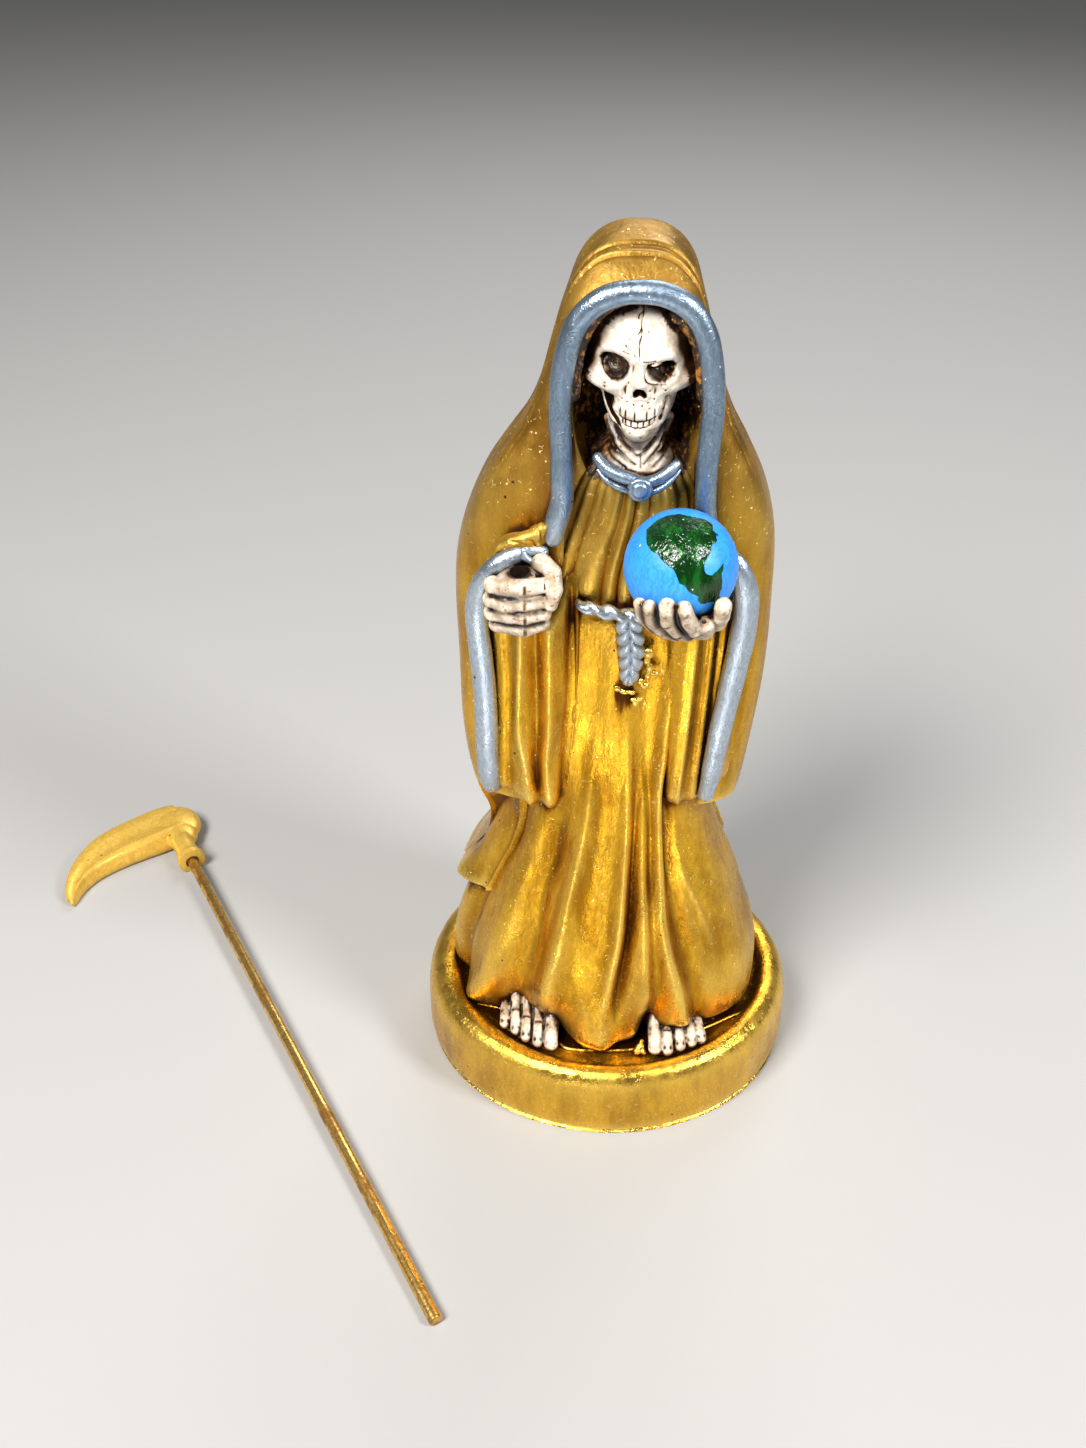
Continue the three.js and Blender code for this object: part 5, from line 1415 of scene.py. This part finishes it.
# The scythe's head is a hollow-backed sickle with a socket, cast apart and painted pale gold. It lies
# on its side, plugged onto the rod. Its sizes are those of the CAD.
ROD_FOOT = (-22.2, -65.8)
ROD_HEADING = math.radians(122.2)
ROD_LENGTH = 121
ROD_RADIUS = 1.05
SOCKET_LENGTH = 5.2
SOCKET_HEIGHT = 2.4
HEAD_THICKNESS = 4.4
ROD_GAP = 0.3
TABLE_CUT = 0.02


def laid_out(places, along):
    """From the scythe's own frame, x along the rod, to the table."""
    x, y, z = np.asarray(places, float).T
    x = x + along
    c, s = math.cos(ROD_HEADING), math.sin(ROD_HEADING)
    return np.stack([ROD_FOOT[0] + x * c - y * s, ROD_FOOT[1] + x * s + y * c, z], axis=1)


blade_back = route([(19.2, -2.6), (19.5, 2.5), (18.5, 7.3), (17.6, 11.6), (16, 15.6), (13.4, 19),
                    (10.2, 21.8), (6.6, 23.8), (3.1, 24.9), (0.4, 24.6)], 200)
blade_edge = route([(8.8, -2.4), (7.9, 2.8), (7.6, 7.4), (7.2, 11.4), (6.6, 14.8), (5.7, 17.6), (4.5, 19.8),
                    (3.1, 21.5), (1.6, 22.8), (0, 24)], 200)
# Across a section: how far from the cutting edge to the back, and how high, both from 0 to 1.
blade_section = route([
    (0.06, 0.02), (0.3, 0), (0.6, 0), (0.88, 0.03), (0.97, 0.2), (1, 0.5), (0.97, 0.78), (0.88, 0.93),
    (0.72, 0.97), (0.55, 0.9), (0.4, 0.87), (0.27, 0.97), (0.19, 1.0), (0.12, 0.9), (0.05, 0.62), (0.0, 0.34),
    (0.02, 0.12), (0.06, 0.02)], 90)


def blade_bend(across, up):
    i = np.clip(up * 199, 0, 198.999)
    low, share = i.astype(int), (i % 1)[:, None]
    back, edge = [line[low] * (1 - share) + line[low + 1] * share for line in (blade_back, blade_edge)]
    outward, upward = [np.interp(across, np.linspace(0, 1, 90), axis) for axis in blade_section.T]
    ends = np.sqrt(np.clip(1 - (1 - np.clip(np.minimum(up * 25, (1 - up) * 14), 0, 1)) ** 2, 0.02, 1))
    x, y = (edge + (back - edge) * (0.5 + (outward - 0.5) * ends)[:, None]).T
    tall = HEAD_THICKNESS * (1 - 0.5 * up ** 2.5)
    tall = tall * (1 + 0.02 * ripple(x, y, 0, 4, 3))
    return x, y, np.maximum(tall * (0.5 + (upward - 0.5) * ends), 0)


head_paint, t, shader = material("pale_gold_paint")
brush = placed(t, brush_effect, Size=0.7, Clouds=1.0)
pits = placed(t, speck_effect, Scale=900.0, Share=0.04, Size=0.18)["Mask"]
rub = ramp(t, noise(t, spot(t), 260.0, 5.0, 0.65), 0.52, 0.75)
colour = coats(t, over(t, brush["Tone"], (0.72, 0.43, 0.06), (0.84, 0.54, 0.10)),
               (rub, 0.5, (0.47, 0.25, 0.03)), (pits, 1, (0.2, 0.09, 0.01)))
rough = ramp(t, brush["Sheen"], 0, 1, 0.34, 0.44)
feed(t, shader, {"Base Color": colour, "Metallic": 0.45, "Roughness": rough})
dents(t, shader, (brush["Height"], 0.0001, 0.5))

blade = skin("blade", 90, 150, blade_bend, head_paint)
blade_joint = fused("blade_joint", [
    ball((13.2, -0.6, 2.3), (6, 5.0, 2.15)), ball((10, -0.4, 2.3), (4.6, 3.6, 2.1)),
    bone((3.2, 0, 2.4), (11, -0.4, 2.3), 2.1, 2.2),
], 0.16, 4, head_paint)
socket = roll("socket", [(x, 0, SOCKET_HEIGHT) for x in (0.05, 2, 4, 6, 8)],
              [(0, 2.2), (0.03, 2.65), (0.1, 2.7), (0.2, 2.68), (0.3, 2.25), (0.5, 2.15), (1, 2.2)],
              90, around=48, blunt=0.16, coat=head_paint)
scythe_head = combined(combined(blade_joint, blade, "UNION"), socket, "UNION")
socket_bore = round_bar(40, ROD_RADIUS + ROD_GAP, 2 * (SOCKET_LENGTH + ROD_GAP), (0, 0, SOCKET_HEIGHT),
                        math.pi / 2)
socket_bore.data.materials.append(head_paint)
scythe_head = combined(scythe_head, socket_bore, "DIFFERENCE")
table_top = block("table_top", (-40, -40, -6), (40, 40, TABLE_CUT))
scythe_head = combined(scythe_head, table_top, "DIFFERENCE")
scythe_head.name = "sickle"
places = places_of(scythe_head)
places[:, 2] -= TABLE_CUT
move_to(scythe_head, laid_out(places, ROD_LENGTH - SOCKET_LENGTH) / 1000)
smoothed(scythe_head, 40)
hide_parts("scythe_head")
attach(scythe_head, "root")


# The scythe's rod is a thin drawn metal rod, cut square, with a gold finish rubbed brown by handling.
scythe_rod = round_bar(48, ROD_RADIUS, ROD_LENGTH, (ROD_LENGTH / 2, 0, 0), math.pi / 2)
scythe_rod.name = "drawn_rod"
bpy.ops.object.mode_set(mode="EDIT")
bpy.ops.mesh.select_mode(type="FACE")
bpy.ops.mesh.select_all(action="DESELECT")
bpy.ops.object.mode_set(mode="OBJECT")
for face in scythe_rod.data.polygons:
    face.select = len(face.vertices) > 4
bpy.ops.object.mode_set(mode="EDIT")
bpy.ops.mesh.bevel(offset=0.12, segments=3)
bpy.ops.object.mode_set(mode="OBJECT")
x, y, z = places_of(scythe_rod).T
tilt = math.atan2(SOCKET_HEIGHT - ROD_RADIUS, ROD_LENGTH - SOCKET_LENGTH)
along, up = x * math.cos(tilt) - z * math.sin(tilt), x * math.sin(tilt) + z * math.cos(tilt)
move_to(scythe_rod, laid_out(np.stack([along, y, ROD_RADIUS + up], axis=1), 0) / 1000)
rod_paint, t, shader = material("rubbed_rod")
brush = placed(t, brush_effect, Size=0.8, Clouds=1.0)
rub = ramp(t, noise(t, spot(t), 190.0, 5.0, 0.7), 0.46, 0.66)
rings = noise(t, mapped(t, spot(t), (900.0, 900.0, 4000.0)), 1.0)
colour = coats(t, over(t, brush["Tone"], (0.60, 0.33, 0.06), (0.82, 0.54, 0.18)),
               (rub, 0.8, (0.22, 0.09, 0.015)))
feed(t, shader, {"Base Color": colour, "Metallic": 0.9, "Roughness": ramp(t, rub, 0, 1, 0.26, 0.5)})
dents(t, shader, (rings, 0.00006, 0.4), (brush["Height"], 0.00008, 0.5))
scythe_rod.data.materials.append(rod_paint)
smoothed(scythe_rod, 40)
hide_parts("scythe_rod")
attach(scythe_rod, "root")
